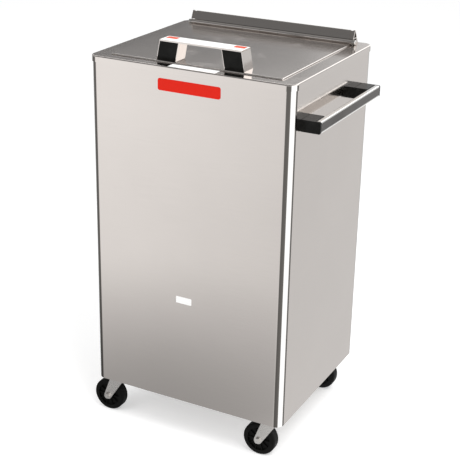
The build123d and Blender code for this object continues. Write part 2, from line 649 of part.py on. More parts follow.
def lid_insulation():
    shrink = 2 * (LID_SHEET + LID_FILL_GAP)
    slab = block(LID_PAN_WIDTH - shrink, LID_PAN_LENGTH - shrink,
                 LID_PAN_CORNER - LID_SHEET - LID_FILL_GAP,
                 LID_PAN_UNDER + LID_SHEET, LID_INSIDE - LID_FILL_GAP)
    slab = Pos(0, MOUTH_Y, 0) * slab
    for x, y in lid_screw_places():
        slab -= Pos(x, y, 0) * tube(LID_SCREW_HEAD + HOLE_GAP,
                                    LID_INSIDE - LID_SCREW_HEAD_LENGTH - HOLE_GAP, LID_TOP)
    return slab


def leg_outline(side, grow):
    """Outline of one leg of the lid handle in (x, z), shrunk by grow on its two sides."""
    top_z = LID_TOP + LID_HANDLE_HEIGHT - LID_STRAP_SHEET
    base = LID_HANDLE_BASE / 2
    top = base - (LID_HANDLE_BASE - LID_HANDLE_TOP) / 2
    corners = [(base - grow, LID_TOP), (top - grow, top_z),
               (top - LID_LEG_WIDTH + grow, top_z), (base - LID_LEG_WIDTH + grow, LID_TOP)]
    return make_face(Polyline(*[(side * x, z) for x, z in corners], close=True))


def handle_slab(outline, depth):
    """A (x, z) outline carried along the depth of the lid handle."""
    slab = extrude(Plane.XZ * outline, depth / 2, both=True)
    return Pos(LID_HANDLE_X, LID_HANDLE_Y, 0) * slab


def lid_handle_strap():
    """Steel strap: grip plate on top, and two walls round each leg's core."""
    plate = Pos(0, LID_TOP + LID_HANDLE_HEIGHT - LID_STRAP_SHEET / 2) * RectangleRounded(
        LID_HANDLE_TOP, LID_STRAP_SHEET, LID_STRAP_SHEET / 3)
    strap = handle_slab(plate, LID_HANDLE_DEPTH)
    for side in (-1, 1):
        leg = leg_outline(side, 0) - leg_outline(side, LID_STRAP_SIDE)
        strap += handle_slab(leg, LID_HANDLE_DEPTH)
    return strap


def lid_handle_cores():
    cores = [handle_slab(leg_outline(side, LID_STRAP_SIDE), LID_HANDLE_DEPTH + 2 * LID_CORE_PROUD)
             for side in (-1, 1)]
    drill = tube(LID_SCREW_RADIUS, LID_TOP, LID_TOP + LID_SCREW_DEPTH)
    for x, y in lid_screw_places():
        cores = [core - Pos(x, y, 0) * drill for core in cores]
    return group(cores)


def lid_handle_screws():
    head = tube(LID_SCREW_HEAD, LID_INSIDE - LID_SCREW_HEAD_LENGTH, LID_INSIDE)
    screw = head + tube(LID_SCREW_RADIUS, LID_INSIDE, LID_TOP + LID_SCREW_DEPTH)
    return group([Pos(x, y, 0) * screw for x, y in lid_screw_places()])


# ---- Side handle -------------------------------------------------------------
def side_bar_section(grow):
    return RectangleRounded(SIDE_BAR_THICKNESS + 2 * grow, SIDE_HANDLE_HEIGHT + 2 * grow,
                            SIDE_BAR_ROUND + grow)


def side_bar(grow, length):
    """Round-edged bar along Y at the outer end of the handle."""
    bar = extrude(Plane.XZ * side_bar_section(grow), length / 2, both=True)
    return Pos(SIDE_X + SIDE_HANDLE_REACH - SIDE_BAR_THICKNESS / 2, SIDE_HANDLE_Y,
               SIDE_HANDLE_Z) * bar


def side_handle_bar():
    length = SIDE_HANDLE_LENGTH - 2 * (SIDE_BRACKET_THICKNESS - SIDE_BAR_ENTRY)
    return side_bar(0, length)


def side_handle_brackets():
    """Moulded ends of the side handle: a block behind the bar and a socket for its end."""
    outline = RectangleRounded(SIDE_HANDLE_REACH, SIDE_HANDLE_HEIGHT, SIDE_BAR_ROUND)
    bracket = extrude(Plane.XZ * outline, SIDE_BRACKET_THICKNESS / 2, both=True)
    reach = SIDE_HANDLE_REACH - SIDE_BAR_THICKNESS - SIDE_BAR_FIT
    block_end = extrude(Plane.XZ * RectangleRounded(reach, SIDE_HANDLE_HEIGHT, SIDE_BLOCK_ROUND),
                        SIDE_BLOCK_LENGTH / 2, both=True)
    inward = (SIDE_BLOCK_LENGTH - SIDE_BRACKET_THICKNESS) / 2
    length = SIDE_HANDLE_LENGTH - 2 * (SIDE_BRACKET_THICKNESS - SIDE_BAR_ENTRY)
    socket = side_bar(SIDE_BAR_FIT, length + 2 * SIDE_BAR_FIT)
    drill = along_x(tube(SIDE_SCREW_RADIUS, 0, SIDE_SCREW_DEPTH))
    brackets = []
    for dy in mirrored_pair(SIDE_BRACKET_Y):
        end = Pos(SIDE_X + SIDE_HANDLE_REACH / 2, SIDE_HANDLE_Y + dy, SIDE_HANDLE_Z) * bracket
        end += Pos(SIDE_X + reach / 2, SIDE_HANDLE_Y + dy - math.copysign(inward, dy),
                   SIDE_HANDLE_Z) * block_end
        for y, z in side_screw_places():
            end -= Pos(SIDE_X, y, z) * drill
        brackets.append(end - socket)
    return group(brackets)


def side_handle_screws():
    inside = SIDE_X - CABINET_SHEET
    shank = tube(SIDE_SCREW_RADIUS, inside, SIDE_X + SIDE_SCREW_DEPTH)
    head = tube(SIDE_SCREW_HEAD, inside - SIDE_SCREW_HEAD_LENGTH, inside)
    return group([Pos(0, y, z) * along_x(shank + head) for y, z in side_screw_places()])


# ---- Casters -----------------------------------------------------------------
def caster_plate():
    """Top plate with its race and kingpin, about the swivel axis."""
    low = PAN_BOTTOM - CASTER_PLATE_THICKNESS
    plate = block(CASTER_PLATE, CASTER_PLATE, CASTER_PLATE_RADIUS, low, PAN_BOTTOM)
    race = tube(RACE_RADIUS, RACE_UNDER, low)
    race = fillet(race.edges().group_by(Axis.Z)[0], RACE_ROUND)
    pin_end = FORK_TOP - FORK_SHEET - SWIVEL_GAP
    pin = tube(KINGPIN_RADIUS, pin_end, RACE_UNDER)
    pin += tube(KINGPIN_HEAD, pin_end - KINGPIN_HEAD_LENGTH, pin_end)
    plate += race + pin
    half = CASTER_BOLT_SPACING / 2
    for dx in mirrored_pair(half):
        for dy in mirrored_pair(half):
            plate -= Pos(dx, dy, 0) * tube(CASTER_BOLT_RADIUS, low - 1, PAN_TOP)
    return plate


def caster_fork():
    """Pressed fork: a round crown and two legs that trail to the axle."""
    neck = Pos(0, FORK_TOP - FORK_SHEET / 2) * Rectangle(FORK_NECK, FORK_SHEET)
    tip = Pos(-CASTER_TRAIL, WHEEL_RADIUS) * Circle(FORK_TIP_RADIUS)
    side = make_hull([*neck.edges(), *tip.edges()])
    fork = extrude(Plane.XZ * side, FORK_OUTER / 2, both=True)
    fork -= Box(4 * FORK_NECK, FORK_INNER, 2 * (FORK_TOP - FORK_SHEET))
    fork += tube(FORK_CROWN_RADIUS, FORK_TOP - FORK_SHEET, FORK_TOP)
    fork -= tube(KINGPIN_RADIUS + KINGPIN_RUNNING_GAP, 0, TOTAL_HEIGHT)
    hole = along_y(tube(AXLE_RADIUS + AXLE_FIT, -FORK_OUTER, FORK_OUTER))
    return fork - Pos(-CASTER_TRAIL, 0, WHEEL_RADIUS) * hole


def caster_axle():
    half = FORK_OUTER / 2
    bolt = tube(AXLE_RADIUS, -half, half)
    bolt += hexagon(AXLE_HEAD, half, half + AXLE_HEAD_LENGTH)
    bolt += hexagon(AXLE_HEAD, -half - AXLE_HEAD_LENGTH, -half)
    return Pos(-CASTER_TRAIL, 0, WHEEL_RADIUS) * along_y(bolt)


def caster_wheel():
    """Moulded wheel: hub, dished web and a tyre with round shoulders."""
    bore = AXLE_RADIUS + AXLE_RUNNING_GAP
    rim = WHEEL_RADIUS - WHEEL_RIM_DEPTH
    web = WHEEL_WIDTH / 2 - WHEEL_DISH
    half = [(bore, HUB_WIDTH / 2), (HUB_RADIUS, HUB_WIDTH / 2), (HUB_RADIUS, web), (rim, web),
            (rim, WHEEL_WIDTH / 2), (WHEEL_RADIUS, WHEEL_WIDTH / 2)]
    outline = half + [(r, -z) for r, z in reversed(half)]
    face = make_face(Polyline(*outline, close=True))
    face = fillet(face.vertices().group_by(Axis.X)[-1], WHEEL_SHOULDER)
    wheel = revolve(Plane.XZ * face, Axis.Z)
    return Pos(-CASTER_TRAIL, 0, WHEEL_RADIUS) * along_y(wheel)


def caster_bolts():
    low = PAN_BOTTOM - CASTER_PLATE_THICKNESS
    bolt = tube(CASTER_BOLT_RADIUS, low, PAN_TOP)
    bolt += hexagon(CASTER_BOLT_HEAD, low - CASTER_BOLT_HEAD_LENGTH, low)
    bolt += hexagon(CASTER_BOLT_HEAD, PAN_TOP, PAN_TOP + CASTER_NUT_LENGTH)
    return group([Pos(x, y, 0) * bolt for x, y in bolt_places()])


# ---- Rack for the packs ------------------------------------------------------
def rack_divider():
    """Hoop across the rack, with upright bars between its legs."""
    half = (RACK_LENGTH - RACK_WIRE) / 2
    foot = RACK_UNDER + RACK_WIRE
    top = RACK_UNDER + RACK_HEIGHT - RACK_WIRE / 2
    hoop = wire([(0, -half, foot), (0, -half, top), (0, half, top), (0, half, foot)],
                RACK_BEND, RACK_WIRE / 2)
    pitch = 2 * half / (RACK_BARS + 1)
    for i in range(1, RACK_BARS + 1):
        hoop += Pos(0, i * pitch - half, 0) * tube(RACK_BAR_WIRE / 2, foot, top)
    return hoop


def rack_xs():
    half = (RACK_WIDTH - RACK_WIRE) / 2
    return [half * (2 * i / RACK_BAYS - 1) for i in range(RACK_BAYS + 1)]


def rack_dividers():
    hoop = rack_divider()
    return group([Pos(x, MOUTH_Y, 0) * hoop for x in rack_xs()])


def rack_rails():
    """Flat bars across the foot of the rack, which carry every hoop."""
    bar = Box(RACK_WIDTH, RACK_WIRE, RACK_WIRE, align=(Align.CENTER, Align.CENTER, Align.MIN))
    half = (RACK_LENGTH - RACK_WIRE) / 2
    ys = [half * (2 * i / (RACK_BARS + 1) - 1) for i in range(RACK_BARS + 2)]
    return group([Pos(0, MOUTH_Y + y, RACK_UNDER) * bar for y in ys])


def rack_grips():
    """Lifting loops that stand on the two end hoops."""
    half = RACK_GRIP_LENGTH / 2
    foot = RACK_UNDER + RACK_HEIGHT
    top = foot + RACK_GRIP_HEIGHT - RACK_WIRE / 2
    loop = wire([(0, -half, foot), (0, -half, top), (0, half, top), (0, half, foot)],
                RACK_GRIP_BEND, RACK_WIRE / 2)
    return group([Pos(x, MOUTH_Y, 0) * loop for x in (rack_xs()[0], rack_xs()[-1])])


# ---- Inside the tank ---------------------------------------------------------
def heating_element():
    half = ELEMENT_SPREAD / 2
    back = ELEMENT_FRONT_Y + ELEMENT_REACH
    low = TANK_UNDER - ELEMENT_TAIL
    return wire([(-half, ELEMENT_FRONT_Y, low), (-half, ELEMENT_FRONT_Y, ELEMENT_Z),
                 (-half, back, ELEMENT_Z), (half, back, ELEMENT_Z),
                 (half, ELEMENT_FRONT_Y, ELEMENT_Z), (half, ELEMENT_FRONT_Y, low)],
                ELEMENT_BEND, ELEMENT_RADIUS)


def element_fittings(piece):
    piece -= tube(ELEMENT_RADIUS, 0, TOTAL_HEIGHT)
    return group([Pos(x, ELEMENT_FRONT_Y, 0) * piece for x in mirrored_pair(ELEMENT_SPREAD / 2)])


def element_nuts():
    return element_fittings(hexagon(ELEMENT_NUT, TANK_UNDER - ELEMENT_NUT_LENGTH, TANK_UNDER))


def element_collars():
    return element_fittings(
        tube(ELEMENT_COLLAR_RADIUS, TANK_FLOOR, TANK_FLOOR + ELEMENT_COLLAR_LENGTH))


def element_shelf():
    """Slotted shelf over the element. The rack stands on it."""
    shelf = Pos(0, 0, TANK_FLOOR) * Box(SHELF_WIDTH, SHELF_LENGTH, SHELF_HEIGHT,
                                        align=(Align.CENTER, Align.CENTER, Align.MIN))
    shelf = fillet(shelf.edges().filter_by(Axis.Y).group_by(Axis.Z)[-1], 2 * SHELF_SHEET)
    shelf -= Pos(0, 0, TANK_FLOOR) * Box(
        SHELF_WIDTH - 2 * SHELF_SHEET, 2 * SHELF_LENGTH, SHELF_HEIGHT - SHELF_SHEET,
        align=(Align.CENTER, Align.CENTER, Align.MIN))
    pitch = (SHELF_LENGTH - SHELF_SLOT_MARGIN) / SHELF_SLOTS
    slot = Pos(0, 0, TANK_FLOOR + SHELF_SHEET) * extrude(
        SlotOverall(SHELF_WIDTH - 2 * SHELF_SLOT_MARGIN, SHELF_SLOT_WIDTH), SHELF_HEIGHT)
    for i in range(SHELF_SLOTS):
        shelf -= Pos(0, (i - (SHELF_SLOTS - 1) / 2) * pitch, 0) * slot
    return Pos(0, MOUTH_Y, 0) * shelf


# ---- Bulb, thermostat and wiring ---------------------------------------------
def thermostat_bulb():
    """Sensing bulb through the tank floor, with its capillary down to the thermostat."""
    tail = TANK_UNDER - BULB_SHANK
    bulb = tube(BULB_RADIUS, tail, TANK_FLOOR + BULB_LENGTH)
    bulb = Pos(CONTROL_X, BULB_Y, 0) * fillet(bulb.edges().group_by(Axis.Z)[-1], BULB_RADIUS / 2)
    start = PAN_TOP + THERMOSTAT_HEIGHT
    rise = (tail - start) / 3
    return bulb + wire([(THERMOSTAT_X, CONTROL_Y, start), (THERMOSTAT_X, CONTROL_Y, start + rise),
                        (CONTROL_X, BULB_Y, tail - rise), (CONTROL_X, BULB_Y, tail)],
                       CAPILLARY_BEND, CAPILLARY_RADIUS)


def bulb_nut():
    nut = hexagon(BULB_NUT, TANK_UNDER - BULB_NUT_LENGTH, TANK_UNDER)
    return Pos(CONTROL_X, BULB_Y, 0) * (nut - tube(BULB_RADIUS, 0, TOTAL_HEIGHT))


def thermostat_body():
    body = tube(THERMOSTAT_RADIUS, PAN_TOP, PAN_TOP + THERMOSTAT_HEIGHT)
    body = fillet(body.edges().group_by(Axis.Z)[-1], SPINDLE_RADIUS)
    socket = tube(SPINDLE_RADIUS + SPINDLE_RUNNING_GAP, 0, PAN_TOP + THERMOSTAT_SOCKET)
    return Pos(THERMOSTAT_X, CONTROL_Y, 0) * (body - socket)


def thermostat_spindle():
    """Adjusting spindle with a screwdriver slot in its lower end."""
    low = PAN_BOTTOM - SPINDLE_BELOW_PAN
    spindle = tube(SPINDLE_RADIUS, low, PAN_TOP + THERMOSTAT_SOCKET - SEAT_GAP)
    spindle -= Pos(0, 0, low) * Box(4 * SPINDLE_RADIUS, SPINDLE_SLOT, 2 * SPINDLE_SLOT_DEPTH)
    return Pos(THERMOSTAT_X, CONTROL_Y, 0) * spindle


def high_limit_switch():
    switch = tube(LIMIT_RADIUS, PAN_TOP, PAN_TOP + LIMIT_HEIGHT)
    ears = block(LIMIT_EARS, LIMIT_EAR_WIDTH, LIMIT_EAR_WIDTH / 3, PAN_TOP,
                 PAN_TOP + LIMIT_EAR_THICKNESS)
    return Pos(LIMIT_X, CONTROL_Y, 0) * (switch + ears)


def terminal_block():
    """Block with a barrier between neighbouring poles."""
    body = Box(BLOCK_LENGTH, BLOCK_WIDTH, BLOCK_HEIGHT,
               align=(Align.CENTER, Align.CENTER, Align.MIN))
    pitch = BLOCK_LENGTH / BLOCK_POLES
    bay = Pos(0, 0, BLOCK_HEIGHT - BLOCK_BARRIER) * Box(
        pitch - 2 * CONTROL_SHEET, BLOCK_WIDTH, BLOCK_BARRIER,
        align=(Align.CENTER, Align.CENTER, Align.MIN))
    for i in range(BLOCK_POLES):
        body -= Pos((i - (BLOCK_POLES - 1) / 2) * pitch, 0, 0) * bay
    return Pos(CONTROL_X, CONTROL_Y + BLOCK_BACK, PAN_TOP) * body


def control_box():
    """Cover over the controls, flanged to the base pan."""
    high = PAN_TOP + CONTROL_HEIGHT
    cover = block(CONTROL_WIDTH, CONTROL_LENGTH, CONTROL_CORNER, PAN_TOP, high)
    cover += block(CONTROL_WIDTH + 2 * CONTROL_FLANGE, CONTROL_LENGTH, CONTROL_CORNER,
                   PAN_TOP, PAN_TOP + CONTROL_SHEET)
    cover -= block(CONTROL_WIDTH - 2 * CONTROL_SHEET, CONTROL_LENGTH - 2 * CONTROL_SHEET,
                   CONTROL_CORNER - CONTROL_SHEET, PAN_BOTTOM, high - CONTROL_SHEET)
    cover = Pos(CONTROL_X, CONTROL_Y, 0) * cover
    cover -= Pos(THERMOSTAT_X, CONTROL_Y, 0) * tube(
        CAPILLARY_RADIUS + HOLE_GAP, high - CONTROL_FLANGE, high + 1)
    for x, y in lead_starts():
        cover -= Pos(x, y, 0) * tube(LEAD_RADIUS + HOLE_GAP, high - CONTROL_FLANGE, high + 1)
    return cover


def lead_starts():
    pitch = BLOCK_LENGTH / BLOCK_POLES
    return [(CONTROL_X + dx, CONTROL_Y + BLOCK_BACK) for dx in mirrored_pair(pitch * 3 / 2)]


def heater_leads():
    """Insulated wires from the terminal block to the two ends of the element."""
    start = PAN_TOP + BLOCK_HEIGHT - BLOCK_BARRIER
    level = PAN_TOP + CONTROL_HEIGHT + LEAD_RISE
    end = TANK_UNDER - ELEMENT_TAIL
    leads = []
    for (x, y), end_x in zip(lead_starts(), mirrored_pair(ELEMENT_SPREAD / 2)):
        leads.append(wire([(x, y, start), (x, y, level), (end_x, ELEMENT_FRONT_Y, level),
                           (end_x, ELEMENT_FRONT_Y, end)], LEAD_BEND, LEAD_RADIUS))
    return group(leads)


# ---- Cord gland --------------------------------------------------------------
def at_gland(piece):
    """Carry an upright piece to the back wall, its up pointing out of the cabinet."""
    return Pos(GLAND_X, BACK_Y, GLAND_Z) * along_y(piece)


def cord_gland():
    gland = hexagon(GLAND_HEX, 0, GLAND_HEX_LENGTH)
    dome = tube(GLAND_HEX / 2 - HOLE_GAP, GLAND_HEX_LENGTH, GLAND_HEX_LENGTH + GLAND_DOME_LENGTH)
    gland += fillet(dome.edges().group_by(Axis.Z)[-1], GLAND_DOME_ROUND)
    gland += tube(GLAND_THREAD_RADIUS, -GLAND_THREAD_LENGTH, 0)
    gland -= tube(GLAND_THROAT, -TOTAL_HEIGHT, GLAND_SEAL_SETBACK)
    return at_gland(gland - tube(GLAND_BORE, 0, TOTAL_HEIGHT))


def gland_nut():
    nut = hexagon(GLAND_HEX, -CABINET_SHEET - GLAND_NUT_LENGTH, -CABINET_SHEET)
    return at_gland(nut - tube(GLAND_THREAD_RADIUS, -TOTAL_HEIGHT, TOTAL_HEIGHT))


# ---- Drain -------------------------------------------------------------------
def drain_path(radius, start_z, end_y):
    return wire([(DRAIN_X, DRAIN_Y, start_z), (DRAIN_X, DRAIN_Y, DRAIN_AXIS_Z),
                 (DRAIN_X, end_y, DRAIN_AXIS_Z)], DRAIN_ELBOW, radius)


def drain_pipe():
    """Rim in the tank floor, pipe down through the base and elbow to the valve."""
    end = VALVE_START_Y + VALVE_SOCKET
    top = TANK_FLOOR + DRAIN_RIM_HEIGHT
    pipe = drain_path(DRAIN_PIPE_RADIUS, TANK_FLOOR, end)
    pipe += Pos(DRAIN_X, DRAIN_Y, 0) * tube(DRAIN_RIM_RADIUS, TANK_FLOOR, top)
    return pipe - drain_path(DRAIN_PIPE_RADIUS - DRAIN_PIPE_WALL, top, end)


def drain_nut():
    nut = hexagon(DRAIN_NUT, TANK_UNDER - DRAIN_NUT_LENGTH, TANK_UNDER)
    return Pos(DRAIN_X, DRAIN_Y, 0) * (nut - tube(DRAIN_PIPE_RADIUS, 0, TOTAL_HEIGHT))


def valve_body():
    """Hexagonal ball valve with a neck for the stem."""
    body = along_y(hexagon(VALVE_ACROSS, -VALVE_LENGTH / 2, VALVE_LENGTH / 2))
    body += tube(VALVE_NECK_RADIUS, 0, VALVE_NECK_HEIGHT)
    near = VALVE_LENGTH / 2 - VALVE_SOCKET
    body -= along_y(tube(DRAIN_PIPE_RADIUS, -VALVE_LENGTH, -near))
    body -= along_y(tube(SPOUT_ENTRY_RADIUS, VALVE_LENGTH / 2 - SPOUT_ENTRY, VALVE_LENGTH))
    body -= tube(STEM_RADIUS + STEM_RUNNING_GAP, VALVE_NECK_HEIGHT - STEM_DEPTH, VALVE_LENGTH)
    return Pos(DRAIN_X, VALVE_Y, DRAIN_AXIS_Z) * body


def valve_stem():
    low = DRAIN_AXIS_Z + VALVE_NECK_HEIGHT - STEM_DEPTH + LEVER_GAP
    high = LEVER_Z + LEVER_THICKNESS
    stem = tube(STEM_RADIUS, low, high) + hexagon(LEVER_NUT, high, high + LEVER_NUT_LENGTH)
    return Pos(DRAIN_X, VALVE_Y, 0) * stem


def drain_lever():
    """Flat lever across the pipe when shut, in line with it when open."""
    centre = (LEVER_LENGTH - LEVER_WIDTH) / 2
    flat = Pos(-centre, 0) * SlotOverall(LEVER_LENGTH, LEVER_WIDTH)
    lever = Pos(0, 0, LEVER_Z) * extrude(flat, LEVER_THICKNESS)
    return Pos(DRAIN_X, VALVE_Y, 0) * (lever - tube(STEM_RADIUS, 0, TOTAL_HEIGHT))


def drain_spout():
    """Hose tail: an entry in the valve's socket, a shoulder and the free pipe."""
    start = VALVE_END_Y - SPOUT_ENTRY
    shoulder = VALVE_END_Y + SPOUT_SHOULDER
    spout = tube(SPOUT_ENTRY_RADIUS, start, VALVE_END_Y)
    spout += tube(SPOUT_SHOULDER_RADIUS, VALVE_END_Y, shoulder)
    spout += tube(SPOUT_RADIUS, shoulder, start + SPOUT_LENGTH)
    spout -= tube(SPOUT_RADIUS - SPOUT_WALL, 0, TOTAL_HEIGHT)
    return Pos(DRAIN_X, 0, DRAIN_AXIS_Z) * along_y(spout)


# ---- Whole heater ------------------------------------------------------------
def all_parts():
    parts = {make.__name__: make() for make in (
        outer_cabinet, base_pan, top_cap, tank, tank_jacket, tank_bearers,
        hinge_cap_leaf, hinge_lid_leaf, hinge_rod, hinge_guard, hinge_rivets,
        lid_skin, lid_pan, lid_insulation,
        lid_handle_strap, lid_handle_cores, lid_handle_screws,
        side_handle_bar, side_handle_brackets, side_handle_screws,
        caster_bolts, rack_dividers, rack_rails, rack_grips,
        heating_element, element_nuts, element_collars, element_shelf,
        thermostat_bulb, bulb_nut, thermostat_body, thermostat_spindle,
        high_limit_switch, terminal_block, control_box, heater_leads,
        cord_gland, gland_nut,
        drain_pipe, drain_nut, valve_body, valve_stem, drain_lever, drain_spout)}
    plate = caster_plate()
    fork = caster_fork()
    axle = caster_axle()
    wheel = caster_wheel()
    for place, (x, y) in CASTER_PLACES.items():
        parts[f"caster_plate_{place}"] = Pos(x, y, 0) * plate
        parts[f"caster_fork_{place}"] = Pos(x, y, 0) * fork
        parts[f"caster_axle_{place}"] = Pos(x, y, 0) * axle
        parts[f"caster_wheel_{place}"] = Pos(x, y, 0) * wheel
    return parts


def origin_shift(parts):
    """Middle of the whole outline, on the floor."""
    box = Compound([solid for piece in parts.values() for solid in piece.solids()]).bounding_box()
    return Vector((box.min.X + box.max.X) / 2, (box.min.Y + box.max.Y) / 2, box.min.Z)


PARTS = all_parts()
ORIGIN = origin_shift(PARTS)

os.makedirs("parts", exist_ok=True)
for name, piece in PARTS.items():
    export_step(Pos(-ORIGIN.X, -ORIGIN.Y, -ORIGIN.Z) * piece, f"parts/{name}.step")
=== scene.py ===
import json
import math

import bmesh
import bpy
from mathutils import Matrix, Vector


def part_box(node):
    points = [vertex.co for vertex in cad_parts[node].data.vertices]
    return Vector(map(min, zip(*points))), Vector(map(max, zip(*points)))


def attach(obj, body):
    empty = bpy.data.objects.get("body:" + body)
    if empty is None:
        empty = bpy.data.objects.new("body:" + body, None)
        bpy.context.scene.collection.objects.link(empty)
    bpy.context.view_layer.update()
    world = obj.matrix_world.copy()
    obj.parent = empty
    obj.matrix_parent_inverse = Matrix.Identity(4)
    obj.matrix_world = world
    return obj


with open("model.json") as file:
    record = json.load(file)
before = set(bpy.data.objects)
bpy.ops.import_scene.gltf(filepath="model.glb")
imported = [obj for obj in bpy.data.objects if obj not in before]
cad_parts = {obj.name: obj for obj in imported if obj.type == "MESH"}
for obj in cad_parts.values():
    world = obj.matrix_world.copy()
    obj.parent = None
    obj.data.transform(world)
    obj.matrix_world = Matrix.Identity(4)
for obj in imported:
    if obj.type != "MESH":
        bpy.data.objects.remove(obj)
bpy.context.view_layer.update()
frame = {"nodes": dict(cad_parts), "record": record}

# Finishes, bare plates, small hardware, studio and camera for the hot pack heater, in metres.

nodes = frame["nodes"]
slot_of = {part["node"]: part["material_slot"] for part in frame["record"]["subparts"]}

MM = 0.001
FULL_TURN = 2 * math.pi
X_AXIS, Y_AXIS, Z_AXIS = (1.0, 0.0, 0.0), (0.0, 1.0, 0.0), (0.0, 0.0, 1.0)

# Where the cabinet, the cap and the lid stand, read from the frame.
cabinet_low, cabinet_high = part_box("outer_cabinet")
cap_low, cap_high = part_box("top_cap")
MIDDLE_X = (cabinet_low.x + cabinet_high.x) / 2
MIDDLE_Y = (cabinet_low.y + cabinet_high.y) / 2
FRONT_Y = cabinet_low.y
CAP_FRONT_Y = cap_low.y
CAP_TOP = cap_high.z
LID_FRONT_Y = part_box("lid_skin")[0].y


# ---- Small helpers for node trees --------------------------------------------

def feed(tree, socket, source):
    """Puts a value into a socket, or links another node's output to it."""
    if isinstance(source, bpy.types.NodeSocket):
        tree.links.new(source, socket)
    elif isinstance(source, (tuple, list)) and len(source) == 3 and socket.type == "RGBA":
        socket.default_value = (*source, 1.0)
    else:
        socket.default_value = source


def add(tree, kind, inputs=None, **settings):
    """Adds one node, sets it up and feeds its inputs, named by their label or number."""
    made = tree.nodes.new(kind)
    for name, value in settings.items():
        setattr(made, name, value)
    for key, source in (inputs or {}).items():
        feed(tree, made.inputs[key], source)
    return made


def maths(tree, operation, *sources):
    made = add(tree, "ShaderNodeMath", dict(enumerate(sources)), operation=operation)
    return made.outputs[0]


def spread(tree, source, low, high, to_low, to_high, soft=False):
    """Maps a value from one range to another, held at both ends."""
    made = add(tree, "ShaderNodeMapRange", {
        "Value": source, "From Min": low, "From Max": high, "To Min": to_low, "To Max": to_high,
    }, interpolation_type="SMOOTHSTEP" if soft else "LINEAR")
    return made.outputs["Result"]


def blend_colours(tree, share, first, second):
    made = add(tree, "ShaderNodeMix", data_type="RGBA")
    feed(tree, made.inputs["Factor"], share)
    feed(tree, made.inputs[6], first)
    feed(tree, made.inputs[7], second)
    return made.outputs[2]


def blend_values(tree, share, first, second):
    made = add(tree, "ShaderNodeMix", data_type="FLOAT")
    feed(tree, made.inputs["Factor"], share)
    feed(tree, made.inputs[2], first)
    feed(tree, made.inputs[3], second)
    return made.outputs[0]


def noise(tree, stretch, detail=2.0, roughness=0.5, turn=(0.0, 0.0, 0.0)):
    """Noise over the object's own metres, with one frequency for each axis."""
    place = add(tree, "ShaderNodeTexCoord").outputs["Object"]
    mapped = add(tree, "ShaderNodeMapping", {"Vector": place, "Scale": stretch, "Rotation": turn})
    made = add(tree, "ShaderNodeTexNoise", {
        "Vector": mapped.outputs[0], "Scale": 1.0, "Detail": detail, "Roughness": roughness,
    })
    return made.outputs["Fac"]


def bump(tree, height, distance):
    made = add(tree, "ShaderNodeBump", {
        "Height": height, "Distance": distance, "Strength": 1.0,
    })
    return made.outputs[0]


def new_material(name):
    made = bpy.data.materials.new(name)
    made.use_nodes = True
    made.node_tree.nodes.clear()
    return made, made.node_tree


def finish_surface(tree, inputs):
    shader = add(tree, "ShaderNodeBsdfPrincipled", inputs)
    add(tree, "ShaderNodeOutputMaterial", {"Surface": shader.outputs[0]})


# ---- Finishes ----------------------------------------------------------------

STEEL_WARM = (1.0, 0.935, 0.89)
NOISE_RANGE = (0.3, 0.7)      # the part of 0 to 1 that noise mostly fills
PATCH_RANGE = (0.35, 0.7)     # the same, with more of the surface left plain
DUST_RANGE = (0.45, 0.75)
WIPE_RANGE = (0.5, 0.75)

# Brushing, in changes to the metre: across the grain, along it, and the sheet's slow waves.
GRAIN_LINE = 2600.0
GRAIN_RUN = 14.0
PANEL_WAVE = 5.0
GRAIN_LEVEL = (GRAIN_RUN, GRAIN_RUN, GRAIN_LINE)      # level lines round an upright sheet
GRAIN_ACROSS = (GRAIN_RUN, GRAIN_LINE, GRAIN_LINE)    # from left to right, on every face
GRAIN_LID = (GRAIN_RUN, GRAIN_LINE, GRAIN_RUN)        # from left to right, on the top alone
GRAIN_ALONG = (GRAIN_LINE, GRAIN_RUN, GRAIN_LINE)     # from front to back
GRAIN_NONE = (400.0, 400.0, 400.0)                    # mill finish, alike every way
LINE_DEPTH = 0.000004
FINE_GRAIN = 100.0            # where the grain is finer than this, the broad streaks in it are
BROAD_SHARE = 6               # this many times as wide
STREAK_SHARE, CLOUD_SHARE = 0.55, 0.45
WIPE_GRAIN, WIPE_TURN = (9.0, 9.0, 3.0), (0.3, 0.5, 0.4)
WIPE_DULLNESS = 0.35          # how much a wipe mark adds to the roughness, as a share of it

# Painted reflections on an upright bend: a wide and a fine dark line, and a painted highlight
# between them. Each line is where one part of the surface's direction, without its sign, lies
# between four limits: it begins, is full, is still full, and has ended.
BEND_DARK = (0.15, 0.14, 0.13)
BEND_BRIGHT = (0.99, 0.99, 0.98)
BEND_WIDE = (0.991, 0.984, 0.815, 0.79)       # painted dark line, by the part along y
BEND_FINE = (0.9995, 0.998, 0.963, 0.95)      # painted fine dark line, by the part along x
BEND_PAINTED_HIGHLIGHT = (0.955, 0.94, 0.62, 0.6)        # painted highlight, by the part along x
UPRIGHT_RANGE = (0.05, 0.15)                  # full and gone, by the part along z


def within(tree, value, limits):
    start, full, fade, end = limits
    return maths(tree, "MULTIPLY", spread(tree, value, end, fade, 0.0, 1.0, soft=True),
                 spread(tree, value, full, start, 1.0, 0.0, soft=True))


def bend_painted_reflections(tree, colour):
    """Painted lines that stand in for what an upright bend mirrors: a wide and a fine dark
    line, and a bright one between them."""
    normal = add(tree, "ShaderNodeNewGeometry").outputs["Normal"]
    split = add(tree, "ShaderNodeSeparateXYZ", {0: normal})
    x, y, z = [maths(tree, "ABSOLUTE", part) for part in split.outputs]
    upright = spread(tree, z, *UPRIGHT_RANGE, 1.0, 0.0)
    dark = maths(tree, "MAXIMUM", within(tree, y, BEND_WIDE), within(tree, x, BEND_FINE))
    bright = maths(tree, "MULTIPLY", upright, within(tree, x, BEND_PAINTED_HIGHLIGHT))
    colour = blend_colours(tree, bright, colour, BEND_BRIGHT)
    return blend_colours(tree, maths(tree, "MULTIPLY", upright, dark), colour, BEND_DARK)


